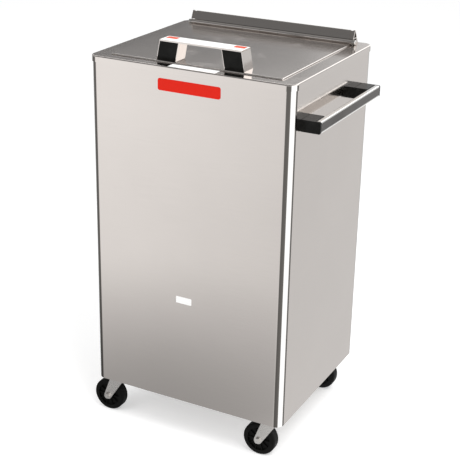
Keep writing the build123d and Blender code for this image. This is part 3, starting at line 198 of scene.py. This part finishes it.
def steel(name, bright, rough, grain, cloud=0.03, anisotropy=0.35, warm=STEEL_WARM, painted_reflections=False):
    """Rolled stainless sheet: fine lines along the grain, slow clouds, faint wipe marks."""
    made, tree = new_material(name)
    broad_grain = tuple(g / BROAD_SHARE if g > FINE_GRAIN else g for g in grain)
    lines = noise(tree, grain, detail=3.0, roughness=0.6)
    broad = noise(tree, broad_grain, detail=2.0)
    clouds = noise(tree, (PANEL_WAVE,) * 3, detail=3.0, roughness=0.55)
    wipes = noise(tree, WIPE_GRAIN, detail=4.0, roughness=0.7, turn=WIPE_TURN)
    low = tuple(bright * (1 - cloud) * c for c in warm)
    high = tuple(min(1.0, bright * (1 + cloud)) * c for c in warm)
    streak = maths(tree, "ADD", maths(tree, "MULTIPLY", lines, 0.5),
                   maths(tree, "MULTIPLY", broad, 0.5))
    tone = maths(tree, "ADD", maths(tree, "MULTIPLY", streak, STREAK_SHARE),
                 maths(tree, "MULTIPLY", clouds, CLOUD_SHARE))
    colour = blend_colours(tree, spread(tree, tone, *NOISE_RANGE, 0.0, 1.0), low, high)
    # Painted reflections on an upright bend: dark lines and a painted highlight.
    if painted_reflections:
        colour = bend_painted_reflections(tree, colour)
    gloss = maths(
        tree, "ADD", spread(tree, lines, *NOISE_RANGE, rough * 0.9, rough * 1.1),
        spread(tree, wipes, *WIPE_RANGE, 0.0, rough * WIPE_DULLNESS, soft=True))
    normal = add(tree, "ShaderNodeNewGeometry").outputs["Normal"]
    across = add(tree, "ShaderNodeVectorMath", {0: normal, 1: (1.0, 0.001, 0.0)},
                 operation="CROSS_PRODUCT")
    tangent = add(tree, "ShaderNodeVectorMath", {0: across.outputs[0]}, operation="NORMALIZE")
    finish_surface(tree, {
        "Base Color": colour, "Metallic": 1.0, "Roughness": gloss, "Anisotropic": anisotropy,
        "Tangent": tangent.outputs[0], "Normal": bump(tree, streak, LINE_DEPTH),
    })
    return made


def plated_steel(name, colour, rough):
    """Zinc plate: a soft grey with faint crystal patches and small dull spots."""
    made, tree = new_material(name)
    place = add(tree, "ShaderNodeTexCoord").outputs["Object"]
    patches = add(tree, "ShaderNodeTexVoronoi", {"Vector": place, "Scale": 160.0}).outputs["Color"]
    patch = add(tree, "ShaderNodeSeparateColor", {0: patches}).outputs[0]
    spots = noise(tree, (420.0,) * 3, detail=4.0, roughness=0.65)
    low = tuple(0.86 * c for c in colour)
    tint = blend_colours(tree, blend_values(tree, 0.35, spots, patch), low, colour)
    finish_surface(tree, {
        "Base Color": tint, "Metallic": 1.0,
        "Roughness": spread(tree, spots, *NOISE_RANGE, rough, rough * 1.35),
        "Normal": bump(tree, spots, 0.00002),
    })
    return made


def turned_metal(name, colour, rough):
    """Machined or drawn metal with fine tool marks and some darkening in patches."""
    made, tree = new_material(name)
    marks = noise(tree, (900.0, 900.0, 1800.0), detail=2.0)
    patches = noise(tree, (60.0,) * 3, detail=4.0, roughness=0.6)
    low = tuple(0.75 * c for c in colour)
    tint = blend_colours(tree, spread(tree, patches, *PATCH_RANGE, 0.0, 1.0), colour, low)
    finish_surface(tree, {
        "Base Color": tint, "Metallic": 1.0,
        "Roughness": spread(tree, marks, *NOISE_RANGE, rough * 0.85, rough * 1.2),
        "Normal": bump(tree, marks, 0.00001),
    })
    return made


def moulded_plastic(name, colour, rough, pebble=1500.0, depth=0.00002, gloss=0.5):
    """Moulded plastic with a fine pebbled skin and slightly uneven sheen."""
    made, tree = new_material(name)
    skin = noise(tree, (pebble,) * 3, detail=2.0)
    handled = noise(tree, (45.0,) * 3, detail=4.0, roughness=0.6)
    high = tuple(min(1.0, c * 1.35 + 0.004) for c in colour)
    tint = blend_colours(tree, spread(tree, handled, *PATCH_RANGE, 0.0, 1.0), colour, high)
    finish_surface(tree, {
        "Base Color": tint,
        "Roughness": spread(tree, handled, *NOISE_RANGE, rough * 0.85, rough * 1.15),
        "Specular IOR Level": gloss, "Normal": bump(tree, skin, depth),
    })
    return made


def tread_rubber(name, colour):
    """Caster rubber: matt, with a fine grain and a little uneven dust."""
    made, tree = new_material(name)
    grain = noise(tree, (700.0,) * 3, detail=3.0)
    dust = noise(tree, (80.0, 80.0, 80.0), detail=5.0, roughness=0.65)
    dusty = tuple(c + 0.005 for c in colour)
    tint = blend_colours(tree, spread(tree, dust, *DUST_RANGE, 0.0, 1.0), colour, dusty)
    finish_surface(tree, {
        "Base Color": tint, "Roughness": spread(tree, dust, *NOISE_RANGE, 0.42, 0.62),
        "Specular IOR Level": 0.15, "Normal": bump(tree, grain, 0.00004),
    })
    return made


def mineral_wool(name):
    """Pressed mineral fibre: pale yellow, with fine fibres."""
    made, tree = new_material(name)
    fibres = noise(tree, (900.0, 200.0, 500.0), detail=6.0, roughness=0.75, turn=(0.4, 0.7, 0.2))
    tint = blend_colours(tree, fibres, (0.52, 0.47, 0.33), (0.86, 0.81, 0.66))
    finish_surface(tree, {
        "Base Color": tint, "Roughness": 0.95, "Normal": bump(tree, fibres, 0.0004),
    })
    return made


FILM_ROUGH = 0.45


def plain_film(name, colour):
    """Self-adhesive film or enamelled plate: an even colour under a thin uneven gloss."""
    made, tree = new_material(name)
    ripple = noise(tree, (120.0,) * 3, detail=3.0)
    high = tuple(min(1.0, c * 1.04) for c in colour)
    tint = blend_colours(tree, ripple, colour, high)
    finish_surface(tree, {
        "Base Color": tint,
        "Roughness": spread(tree, ripple, *NOISE_RANGE, FILM_ROUGH * 0.85, FILM_ROUGH * 1.2),
        "Specular IOR Level": 0.2, "Normal": bump(tree, ripple, 0.00001),
    })
    return made


finishes = {
    "brushed_stainless": steel("satin_sheet", bright=0.79, rough=0.1, grain=GRAIN_LEVEL),
    "polished_stainless": steel("bright_steel", bright=0.8, rough=0.12, grain=GRAIN_ACROSS),
    "dull_steel": steel("mill_steel", bright=0.55, rough=0.34, grain=GRAIN_NONE, cloud=0.08,
                        anisotropy=0.0),
    "zinc_steel": plated_steel("zinc_plate", (0.92, 0.89, 0.86), rough=0.24),
    "screw_steel": turned_metal("screw_bright", (0.75, 0.73, 0.7), rough=0.18),
    "black_moulding": moulded_plastic("black_plastic", (0.004, 0.004, 0.0035), rough=0.16,
                                      depth=0.000004, gloss=0.12),
    "caster_rubber": tread_rubber("black_rubber", (0.003, 0.003, 0.0025)),
    "brass": turned_metal("yellow_brass", (0.72, 0.55, 0.27), rough=0.24),
    "insulation": mineral_wool("mineral_fibre"),
    "white_moulding": moulded_plastic("white_nylon", (0.82, 0.81, 0.77), rough=0.4),
    "lead_sleeve": moulded_plastic("lead_sleeving", (0.09, 0.085, 0.085), rough=0.5,
                                   pebble=2600.0),
}
# The cabinet and the cap carry painted reflections on each upright bend.
cabinet_sheet = steel("cabinet_sheet", bright=0.79, rough=0.1, grain=GRAIN_LEVEL, painted_reflections=True)
cap_sheet = steel("cap_sheet", bright=0.8, rough=0.12, grain=GRAIN_ACROSS, painted_reflections=True)
grip_chrome = steel("grip_chrome", bright=0.9, rough=0.1, grain=GRAIN_ALONG,
                    warm=(1.0, 0.99, 0.97))
lid_sheet = steel("lid_sheet", bright=0.78, rough=0.13, grain=GRAIN_LID)
tank_sheet = steel("tank_sheet", bright=0.72, rough=0.24, grain=GRAIN_LEVEL, cloud=0.06)
# Dark grey for the side handle's inlay, painted in place of the dark reflection on the bar's outer
# face.
inlay_painted_dark = steel("grip_inlay_painted_dark", bright=0.115, rough=0.36, grain=GRAIN_ALONG, cloud=0.1)
badge_red = plain_film("badge_enamel", (0.66, 0.014, 0.004))
label_white = plain_film("label_film", (0.93, 0.93, 0.92))
bar_red = plain_film("strip_bars", (0.7, 0.085, 0.035))


def dress(node, material):
    """Gives a CAD node a finish in place of its plain colour."""
    for place in nodes[node].material_slots:
        place.material = material


for node in nodes:
    dress(node, finishes[slot_of[node]])
dress("lid_skin", lid_sheet)
dress("tank", tank_sheet)
dress("outer_cabinet", cabinet_sheet)
dress("top_cap", cap_sheet)
dress("side_handle_bar", grip_chrome)


# ---- Meshes ------------------------------------------------------------------

SMALLEST_ROUND = 0.1 * MM      # a corner's radius never shrinks below this
EDGE_STEPS = 3                 # flats across a plate's rounded edge


def rounded_outline(width, height, radius, steps=6):
    """Corner-rounded rectangle about the origin, anticlockwise, as flat points."""
    points = []
    for quarter, (sx, sy) in enumerate(((1, 1), (-1, 1), (-1, -1), (1, -1))):
        centre = Vector((sx * (width / 2 - radius), sy * (height / 2 - radius)))
        for i in range(steps + 1):
            angle = (quarter + i / steps) * FULL_TURN / 4
            points.append(centre + radius * Vector((math.cos(angle), math.sin(angle))))
    return points


def stacked(name, rings, material):
    """A closed solid through rings of points, each ring with as many points as the next."""
    count = len(rings[0])
    points = [point for ring in rings for point in ring]
    faces = [tuple(reversed(range(count)))]
    for level in range(len(rings) - 1):
        for i in range(count):
            after = (i + 1) % count
            start, above = level * count, (level + 1) * count
            faces.append((start + i, start + after, above + after, above + i))
    faces.append(tuple(range((len(rings) - 1) * count, len(rings) * count)))
    mesh = bpy.data.meshes.new(name)
    mesh.from_pydata(points, [], faces)
    mesh.materials.append(material)
    made = bpy.data.objects.new(name, mesh)
    bpy.context.scene.collection.objects.link(made)
    return made


def plate(name, centre, right, up, width, height, radius, thickness, edge, material, dish=0.0):
    """A thin rounded plate on a flat face, standing out along right x up, its edge rounded
    and its middle sunk by dish behind a narrow rim."""
    right, up = Vector(right), Vector(up)
    out = right.cross(up)

    def ring(inset, rise):
        flat = rounded_outline(width - 2 * inset, height - 2 * inset,
                               max(radius - inset, SMALLEST_ROUND))
        return [Vector(centre) + right * p.x + up * p.y + out * rise for p in flat]

    rings = [ring(0.0, 0.0), ring(0.0, thickness - edge)]
    for i in range(1, EDGE_STEPS + 1):
        angle = i * FULL_TURN / (4 * EDGE_STEPS)
        rings.append(ring(edge * (1 - math.cos(angle)), thickness - edge + edge * math.sin(angle)))
    if dish:
        rings.append(ring(edge + 2 * dish, thickness))
        rings.append(ring(edge + 3 * dish, thickness - dish))
    return stacked(name, rings, material)


def on_front(x, z):
    """A place on the cabinet's front, from its middle and the floor."""
    return Vector((MIDDLE_X + x, FRONT_Y, z))


def front_badge():
    made = plate("front_badge", on_front(3.5 * MM, 794.5 * MM), X_AXIS, Z_AXIS, width=140 * MM,
                 height=24.5 * MM, radius=4.5 * MM, thickness=0.9 * MM, edge=0.4 * MM,
                 material=badge_red, dish=0.25 * MM)
    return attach(made, "cabinet")


def cap_label():
    centre = Vector((MIDDLE_X + 7.5 * MM, (CAP_FRONT_Y + LID_FRONT_Y) / 2, CAP_TOP))
    made = plate("cap_label", centre, X_AXIS, Y_AXIS, width=105 * MM, height=21 * MM,
                 radius=1.0 * MM, thickness=0.2 * MM, edge=0.1 * MM, material=label_white)
    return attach(made, "cabinet")


def front_label():
    made = plate("front_label", on_front(-5.7 * MM, 335.5 * MM), X_AXIS, Z_AXIS,
                 width=36.6 * MM, height=15 * MM, radius=1.0 * MM, thickness=0.2 * MM,
                 edge=0.1 * MM, material=label_white)
    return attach(made, "cabinet")


STRIP_WIDTH, STRIP_DEPTH = 181 * MM, 35 * MM
FILM_SUNK = 0.05 * MM                        # how far the strip is let into the strap
BAR_INSET, BAR_BACK = 15.5 * MM, 7 * MM      # a bar's middle, from the strip's end and middle
BAR_RISE = 0.1 * MM


def lid_handle_strip():
    low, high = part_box("lid_handle_strap")
    centre = Vector(((low.x + high.x) / 2, (low.y + high.y) / 2, high.z - FILM_SUNK))
    strip = plate("lid_handle_strip", centre, X_AXIS, Y_AXIS, STRIP_WIDTH, STRIP_DEPTH,
                  radius=2 * MM, thickness=0.25 * MM, edge=0.1 * MM, material=label_white)
    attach(strip, "lid")
    for side, name in ((-1, "left"), (1, "right")):
        place = centre + Vector((side * (STRIP_WIDTH / 2 - BAR_INSET), BAR_BACK, BAR_RISE))
        bar = plate(f"lid_handle_bar_{name}", place, X_AXIS, Y_AXIS, width=25 * MM,
                    height=15 * MM, radius=1.2 * MM, thickness=0.25 * MM, edge=0.08 * MM,
                    material=bar_red)
        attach(bar, "lid")


# A dark grey inlay on the bar's outer face. Its dark tone is a painted reflection.
INLAY_RISE = 0.7 * MM          # above the middle of the bar
INLAY_ENDS = 1 * MM            # what it leaves of the bar's length, both ends together
INLAY_EDGES = 7.4 * MM         # what it leaves of the bar's height


def side_handle_inlay():
    low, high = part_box("side_handle_bar")
    centre = Vector((high.x, (low.y + high.y) / 2, (low.z + high.z) / 2 + INLAY_RISE))
    made = plate("side_handle_inlay", centre, Y_AXIS, Z_AXIS, high.y - low.y - INLAY_ENDS,
                 high.z - low.z - INLAY_EDGES, radius=0.5 * MM, thickness=0.2 * MM,
                 edge=0.1 * MM, material=inlay_painted_dark)
    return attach(made, "cabinet")


# ---- Pieces that repeat ------------------------------------------------------

def repeat_group(name, inputs, layout):
    """A node group that sets one piece at every point of a layout, as real faces."""
    tree = bpy.data.node_groups.new(name, "GeometryNodeTree")
    for label, kind in (("Piece", "NodeSocketObject"), ("Finish", "NodeSocketMaterial"), *inputs):
        tree.interface.new_socket(label, in_out="INPUT", socket_type=kind)
    tree.interface.new_socket("Geometry", in_out="OUTPUT", socket_type="NodeSocketGeometry")
    given = add(tree, "NodeGroupInput").outputs
    points, turn = layout(tree, given)
    piece = add(tree, "GeometryNodeObjectInfo", {"Object": given["Piece"]})
    placed = add(tree, "GeometryNodeInstanceOnPoints", {
        "Points": points, "Instance": piece.outputs["Geometry"], "Rotation": turn,
    })
    real = add(tree, "GeometryNodeRealizeInstances", {"Geometry": placed.outputs[0]})
    finished = add(tree, "GeometryNodeSetMaterial", {
        "Geometry": real.outputs[0], "Material": given["Finish"],
    })
    add(tree, "NodeGroupOutput", {"Geometry": finished.outputs[0]})
    return tree


def ring_layout(tree, given):
    """Points round a circle, each piece turned to point outwards."""
    ring = add(tree, "GeometryNodeMeshCircle", {
        "Vertices": given["Count"], "Radius": given["Radius"],
    })
    number = add(tree, "GeometryNodeInputIndex").outputs[0]
    turn = maths(tree, "DIVIDE", maths(tree, "MULTIPLY", number, FULL_TURN), given["Count"])
    return ring.outputs[0], add(tree, "ShaderNodeCombineXYZ", {"Z": turn}).outputs[0]


def grid_layout(tree, given):
    """Points in rows and columns, every piece the same way up."""
    grid = add(tree, "GeometryNodeMeshGrid", {
        "Size X": given["Width"], "Size Y": given["Length"],
        "Vertices X": given["Columns"], "Vertices Y": given["Rows"],
    })
    return grid.outputs[0], (0.0, 0.0, 0.0)


ring_of = repeat_group("ring_of_pieces", (
    ("Count", "NodeSocketInt"), ("Radius", "NodeSocketFloat")), ring_layout)
grid_of = repeat_group("grid_of_pieces", (
    ("Width", "NodeSocketFloat"), ("Length", "NodeSocketFloat"),
    ("Columns", "NodeSocketInt"), ("Rows", "NodeSocketInt")), grid_layout)


def repeated(group, **values):
    """The mesh that a repeat group gives for these inputs, with the single piece cleared away."""
    holder = bpy.data.objects.new("holder", bpy.data.meshes.new("holder"))
    bpy.context.scene.collection.objects.link(holder)
    modifier = holder.modifiers.new("repeat", "NODES")
    modifier.node_group = group
    for item in group.interface.items_tree:
        if item.in_out == "INPUT":
            modifier[item.identifier] = values[item.name]
    holder.update_tag()
    seen = holder.evaluated_get(bpy.context.evaluated_depsgraph_get())
    mesh = bpy.data.meshes.new_from_object(seen)
    bpy.data.objects.remove(holder)
    bpy.data.objects.remove(values["Piece"])
    return mesh


def joined(name, placings, material):
    """One object from meshes, each moved to its place."""
    whole = bmesh.new()
    for mesh, place in placings:
        mesh.transform(place)
        whole.from_mesh(mesh)
    mesh = bpy.data.meshes.new(name)
    whole.to_mesh(mesh)
    whole.free()
    mesh.materials.clear()
    mesh.materials.append(material)
    made = bpy.data.objects.new(name, mesh)
    bpy.context.scene.collection.objects.link(made)
    return made


def raised(name, outlines, material):
    """A solid through (outline, height) pairs, from the lowest up."""
    return stacked(name, [[Vector((p.x, p.y, z)) for p in flat] for flat, z in outlines], material)


HUB_EDGE, RIM_EDGE = 10.8 * MM, 26.8 * MM       # the wheel's web runs between these radii
WEB_FACE, RIB_TOP = 7.9 * MM, 11.3 * MM         # from the middle of the wheel
RIB_WIDTH = 2.4 * MM
RIB_SHOULDER, RIB_CREST = 0.8, 0.5              # its width near the top and on top, as shares
RIB_EDGE = 0.4 * MM                             # height of the bevel between these two
RIB_STEPS = 2
RIBS = 10


def wheel_ribs(corner):
    """Moulded ribs on both sides of a wheel's web."""
    low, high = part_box(f"caster_wheel_{corner}")
    centre = Matrix.Translation((low + high) / 2)
    rubber = finishes["caster_rubber"]
    reach = RIM_EDGE - HUB_EDGE
    levels = ((1.0, RIB_WIDTH / 2.5, WEB_FACE), (RIB_SHOULDER, RIB_WIDTH / 2.5, RIB_TOP - RIB_EDGE),
              (RIB_CREST, RIB_WIDTH / 5, RIB_TOP))
    sides = []
    for turn in (-1, 1):
        rib = raised("rib", [(rounded_outline(reach, RIB_WIDTH * share, radius, RIB_STEPS), height)
                             for share, radius, height in levels], rubber)
        mesh = repeated(ring_of, Piece=rib, Finish=rubber, Count=RIBS,
                        Radius=(HUB_EDGE + RIM_EDGE) / 2)
        sides.append((mesh, centre @ Matrix.Rotation(turn * FULL_TURN / 4, 4, "X")))
    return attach(joined(f"wheel_ribs_{corner}", sides, rubber), f"wheel_{corner}")


HOOPS, RAILS = 7, 5
BAR_FOOT = 1.4 * MM            # radius of a rack bar where it meets its rail
BEAD_REACH, BEAD_RISE = 1.9 * MM, 1.8 * MM
BEAD_SUNK = 0.05 * MM          # how far a bead is let into its rail
BEAD_LEVELS, BEAD_STEPS = 5, 3
ALMOST_ROUND = 0.999           # a corner's radius as a share of the half width


def rack_weld_beads():
    """Weld beads round the foot of every bar of the rack, on top of the rails."""
    low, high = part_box("rack_rails")
    wire = high.z - low.z
    bright = finishes["polished_stainless"]
    outlines = []
    for i in range(BEAD_LEVELS):
        fall = i / (BEAD_LEVELS - 1)
        radius = BAR_FOOT + BEAD_REACH * (1 - fall) ** 2
        flat = rounded_outline(2 * radius, 2 * radius, radius * ALMOST_ROUND, BEAD_STEPS)
        outlines.append((flat, BEAD_RISE * fall))
    bead = raised("bead", outlines, bright)
    mesh = repeated(grid_of, Piece=bead, Finish=bright, Width=high.x - low.x - wire,
                    Length=high.y - low.y - wire, Columns=HOOPS, Rows=RAILS)
    place = Matrix.Translation(((low.x + high.x) / 2, (low.y + high.y) / 2, high.z - BEAD_SUNK))
    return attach(joined("rack_weld_beads", [(mesh, place)], bright), "rack")


for corner in ("front_left", "front_right", "rear_left", "rear_right"):
    wheel_ribs(corner)
rack_weld_beads()
front_badge()
cap_label()
front_label()
lid_handle_strip()
side_handle_inlay()


# ---- Studio ------------------------------------------------------------------

# What mirrored rays see, listed by the compass round the heater: degrees from the front (-Y)
# towards the side handle (+X), and how bright the studio is that way. The first ring lies below the
# horizon, the second a little above it and the third overhead.
LOW_RING = (
    (-180, 1.0), (-152, 0.9), (-140, 0.7), (-128, 0.58), (-86, 0.56), (-62, 0.85), (-43, 0.98),
    (-33, 0.98), (-24, 0.84), (30, 0.84), (50, 1.08), (116, 1.08), (128, 0.85), (149, 0.66),
    (161, 0.68), (170, 1.2), (180, 1.0),
)
HIGH_RING = (
    (-180, 1.4), (-164, 1.1), (-160, 0.66), (-156, 0.25), (-152, 0.17), (-146, 0.155),
    (-120, 0.25), (-100, 0.5), (-80, 0.5), (-62, 0.4), (0, 0.4), (20, 0.5), (48, 0.5),
    (56, 1.5), (142, 1.5), (147, 0.45), (158, 0.45), (163, 1.45), (180, 1.4),
)
OVER_RING = (
    (-180, 1.5), (-140, 1.5), (-124, 0.3), (-62, 0.16), (-20, 0.15), (48, 0.2), (58, 1.5),
    (180, 1.5),
)
ZENITH = 0.24                 # straight up
RING_TOP = 1.6                # brightest a ring can be, so that its ramp stays within 0 to 1

# Where one ring gives way to the next, as the upward part of a ray's direction.
HIGH_START, HIGH_FULL = 0.0, 0.05
OVER_START, OVER_FULL = 0.272, 0.32
ZENITH_START, ZENITH_FULL = 0.6, 0.8

# What lights matt surfaces: from dimmest, low down, to brightest, overhead.
MATT_LOW, MATT_HIGH = -0.2, 0.9
MATT_DIM, MATT_BRIGHT = 0.5, 0.72


def ring_ramp(tree, compass, ring):
    """Brightness by compass, as a ramp once round the heater."""
    made = add(tree, "ShaderNodeValToRGB", {"Fac": compass})
    stops = made.color_ramp.elements
    while len(stops) < len(ring):
        stops.new(0.5)
    for stop, (degrees, bright) in zip(stops, ring):
        stop.position = degrees / 360 + 0.5
        stop.color = (*((bright / RING_TOP,) * 3), 1.0)
    return maths(tree, "MULTIPLY", made.outputs[0], RING_TOP)


def surroundings():
    """White to the camera, plain light for matt surfaces, and the rings for what mirrors."""
    world = bpy.data.worlds.new("studio_world")
    bpy.context.scene.world = world
    world.use_nodes = True
    tree = world.node_tree
    tree.nodes.clear()
    way = add(tree, "ShaderNodeTexCoord").outputs["Generated"]
    x, y, z = add(tree, "ShaderNodeSeparateXYZ", {0: way}).outputs
    turn = maths(tree, "ARCTAN2", x, maths(tree, "MULTIPLY", y, -1.0))
    compass = maths(tree, "ADD", maths(tree, "DIVIDE", turn, FULL_TURN), 0.5)
    rise = spread(tree, z, HIGH_START, HIGH_FULL, 0.0, 1.0, soft=True)
    over = spread(tree, z, OVER_START, OVER_FULL, 0.0, 1.0, soft=True)
    top = spread(tree, z, ZENITH_START, ZENITH_FULL, 0.0, 1.0, soft=True)
    ring = blend_values(tree, rise, ring_ramp(tree, compass, LOW_RING),
                        ring_ramp(tree, compass, HIGH_RING))
    ring = blend_values(tree, over, ring, ring_ramp(tree, compass, OVER_RING))
    mirrored = blend_values(tree, top, ring, ZENITH)
    light = add(tree, "ShaderNodeLightPath")
    matt = spread(tree, z, MATT_LOW, MATT_HIGH, MATT_DIM, MATT_BRIGHT)
    seen = blend_values(tree, light.outputs["Is Glossy Ray"], matt, mirrored)
    seen = blend_values(tree, maths(tree, "MAXIMUM", light.outputs["Is Camera Ray"],
                                    light.outputs["Is Transmission Ray"]), seen, 1.0)
    glow = add(tree, "ShaderNodeBackground", {"Strength": seen, "Color": (1.0, 1.0, 1.0)})
    add(tree, "ShaderNodeOutputWorld", {"Surface": glow.outputs[0]})


# The shade that mirrored rays meet on the floor, placed as listed. Each part of it has the
# distances from its middle at which it begins to lift and is gone, and what it lets through.
POOL_PLACE = (-0.25, -0.2, 0.0)
POOL_NEAR, POOL_FAR, POOL_DEPTH = 0.1, 1.0, 0.5
FOOT_NEAR, FOOT_FAR, FOOT_DEPTH = 0.26, 0.75, 0.86
WIDE_NEAR, WIDE_FAR, WIDE_DEPTH = 0.9, 3.2, 0.9
SHADED_WAY = (-0.95, -0.3, 0.0)    # the shade lies on this side of the heater
SHADE_START, SHADE_FULL = -0.3, 0.05
FLOOR_PAINT = (0.8, 0.8, 0.8)
FLOOR_GLOW = 0.42                  # added for the camera alone, so that the floor is white
FLOOR_HALF = 30.0


def floor():
    """White floor that keeps the heater's shadow. Mirrored rays pass through it to the rings,
    dimmed by the shade."""
    made, tree = new_material("studio_floor")
    place = add(tree, "ShaderNodeTexCoord").outputs["Object"]

    def shade_round(middle, near, far, depth):
        away = add(tree, "ShaderNodeVectorMath", {0: place, 1: middle}, operation="DISTANCE")
        return spread(tree, away.outputs["Value"], near, far, depth, 1.0, soft=True)

    shade = maths(tree, "MULTIPLY", shade_round(POOL_PLACE, POOL_NEAR, POOL_FAR, POOL_DEPTH),
                  shade_round((0.0, 0.0, 0.0), FOOT_NEAR, FOOT_FAR, FOOT_DEPTH))
    shade = maths(tree, "MULTIPLY", shade,
                  shade_round((0.0, 0.0, 0.0), WIDE_NEAR, WIDE_FAR, WIDE_DEPTH))
    along = add(tree, "ShaderNodeVectorMath", {0: place, 1: SHADED_WAY}, operation="DOT_PRODUCT")
    share = spread(tree, along.outputs["Value"], SHADE_START, SHADE_FULL, 0.0, 1.0, soft=True)
    shade = blend_values(tree, share, 1.0, shade)
    through = add(tree, "ShaderNodeCombineColor", {0: shade, 1: shade, 2: shade})
    window = add(tree, "ShaderNodeBsdfTransparent", {"Color": through.outputs[0]})
    paint = add(tree, "ShaderNodeBsdfDiffuse", {"Color": FLOOR_PAINT})
    glow = add(tree, "ShaderNodeEmission", {"Color": (1.0, 1.0, 1.0), "Strength": FLOOR_GLOW})
    light = add(tree, "ShaderNodeLightPath")
    lit = add(tree, "ShaderNodeAddShader", {0: paint.outputs[0], 1: glow.outputs[0]})
    white = add(tree, "ShaderNodeMixShader", {
        "Fac": light.outputs["Is Camera Ray"], 1: paint.outputs[0], 2: lit.outputs[0],
    })
    seen = add(tree, "ShaderNodeMixShader", {
        "Fac": light.outputs["Is Glossy Ray"], 1: white.outputs[0], 2: window.outputs[0],
    })
    add(tree, "ShaderNodeOutputMaterial", {"Surface": seen.outputs[0]})
    mesh = bpy.data.meshes.new("studio_floor")
    sides = ((-1, -1), (1, -1), (1, 1), (-1, 1))
    corners = [(sx * FLOOR_HALF, sy * FLOOR_HALF, 0) for sx, sy in sides]
    mesh.from_pydata(corners, [], [(0, 1, 2, 3)])
    mesh.materials.append(made)
    sheet = bpy.data.objects.new("studio_floor", mesh)
    bpy.context.scene.collection.objects.link(sheet)


def soft_lamp(name, place, aim, size, power):
    """A large soft lamp. Mirrors see the studio's rings in its place."""
    lamp = bpy.data.lights.new(name, "AREA")
    lamp.shape = "DISK"
    lamp.size = size
    lamp.energy = power
    made = bpy.data.objects.new(name, lamp)
    made.location = place
    made.rotation_euler = (Vector(aim) - Vector(place)).to_track_quat("-Z", "Y").to_euler()
    made.visible_glossy = False
    bpy.context.scene.collection.objects.link(made)


CAMERA_PLACE = (1.06665, -2.1019, 1.3912)
CAMERA_TURN, CAMERA_TILT, CAMERA_ROLL = -0.475, -0.389, 0.021     # radians
CAMERA_LENS, CAMERA_SENSOR = 90.27, 36.0                          # millimetres


def camera():
    """Stands where the heater is seen from the front and its handle side, a little above."""
    look = Vector((math.sin(CAMERA_TURN) * math.cos(CAMERA_TILT),
                   math.cos(CAMERA_TURN) * math.cos(CAMERA_TILT), math.sin(CAMERA_TILT)))
    level = look.cross(Z_AXIS).normalized()
    above = level.cross(look)
    right = math.cos(CAMERA_ROLL) * level + math.sin(CAMERA_ROLL) * above
    up = math.cos(CAMERA_ROLL) * above - math.sin(CAMERA_ROLL) * level
    lens = bpy.data.cameras.new("camera")
    lens.sensor_width = CAMERA_SENSOR
    lens.lens = CAMERA_LENS
    made = bpy.data.objects.new("camera", lens)
    facing = Matrix((right, up, -look)).transposed().to_4x4()
    made.matrix_world = Matrix.Translation(CAMERA_PLACE) @ facing
    bpy.context.scene.collection.objects.link(made)
    bpy.context.scene.camera = made


surroundings()
floor()
soft_lamp("key_lamp", place=(1.5, -0.9, 2.9), aim=(0.0, 0.0, 0.4), size=1.8, power=60.0)
soft_lamp("fill_lamp", place=(-1.2, -2.4, 2.0), aim=(0.0, 0.0, 0.5), size=2.0, power=22.0)
camera()
bpy.context.scene.view_settings.view_transform = "Standard"
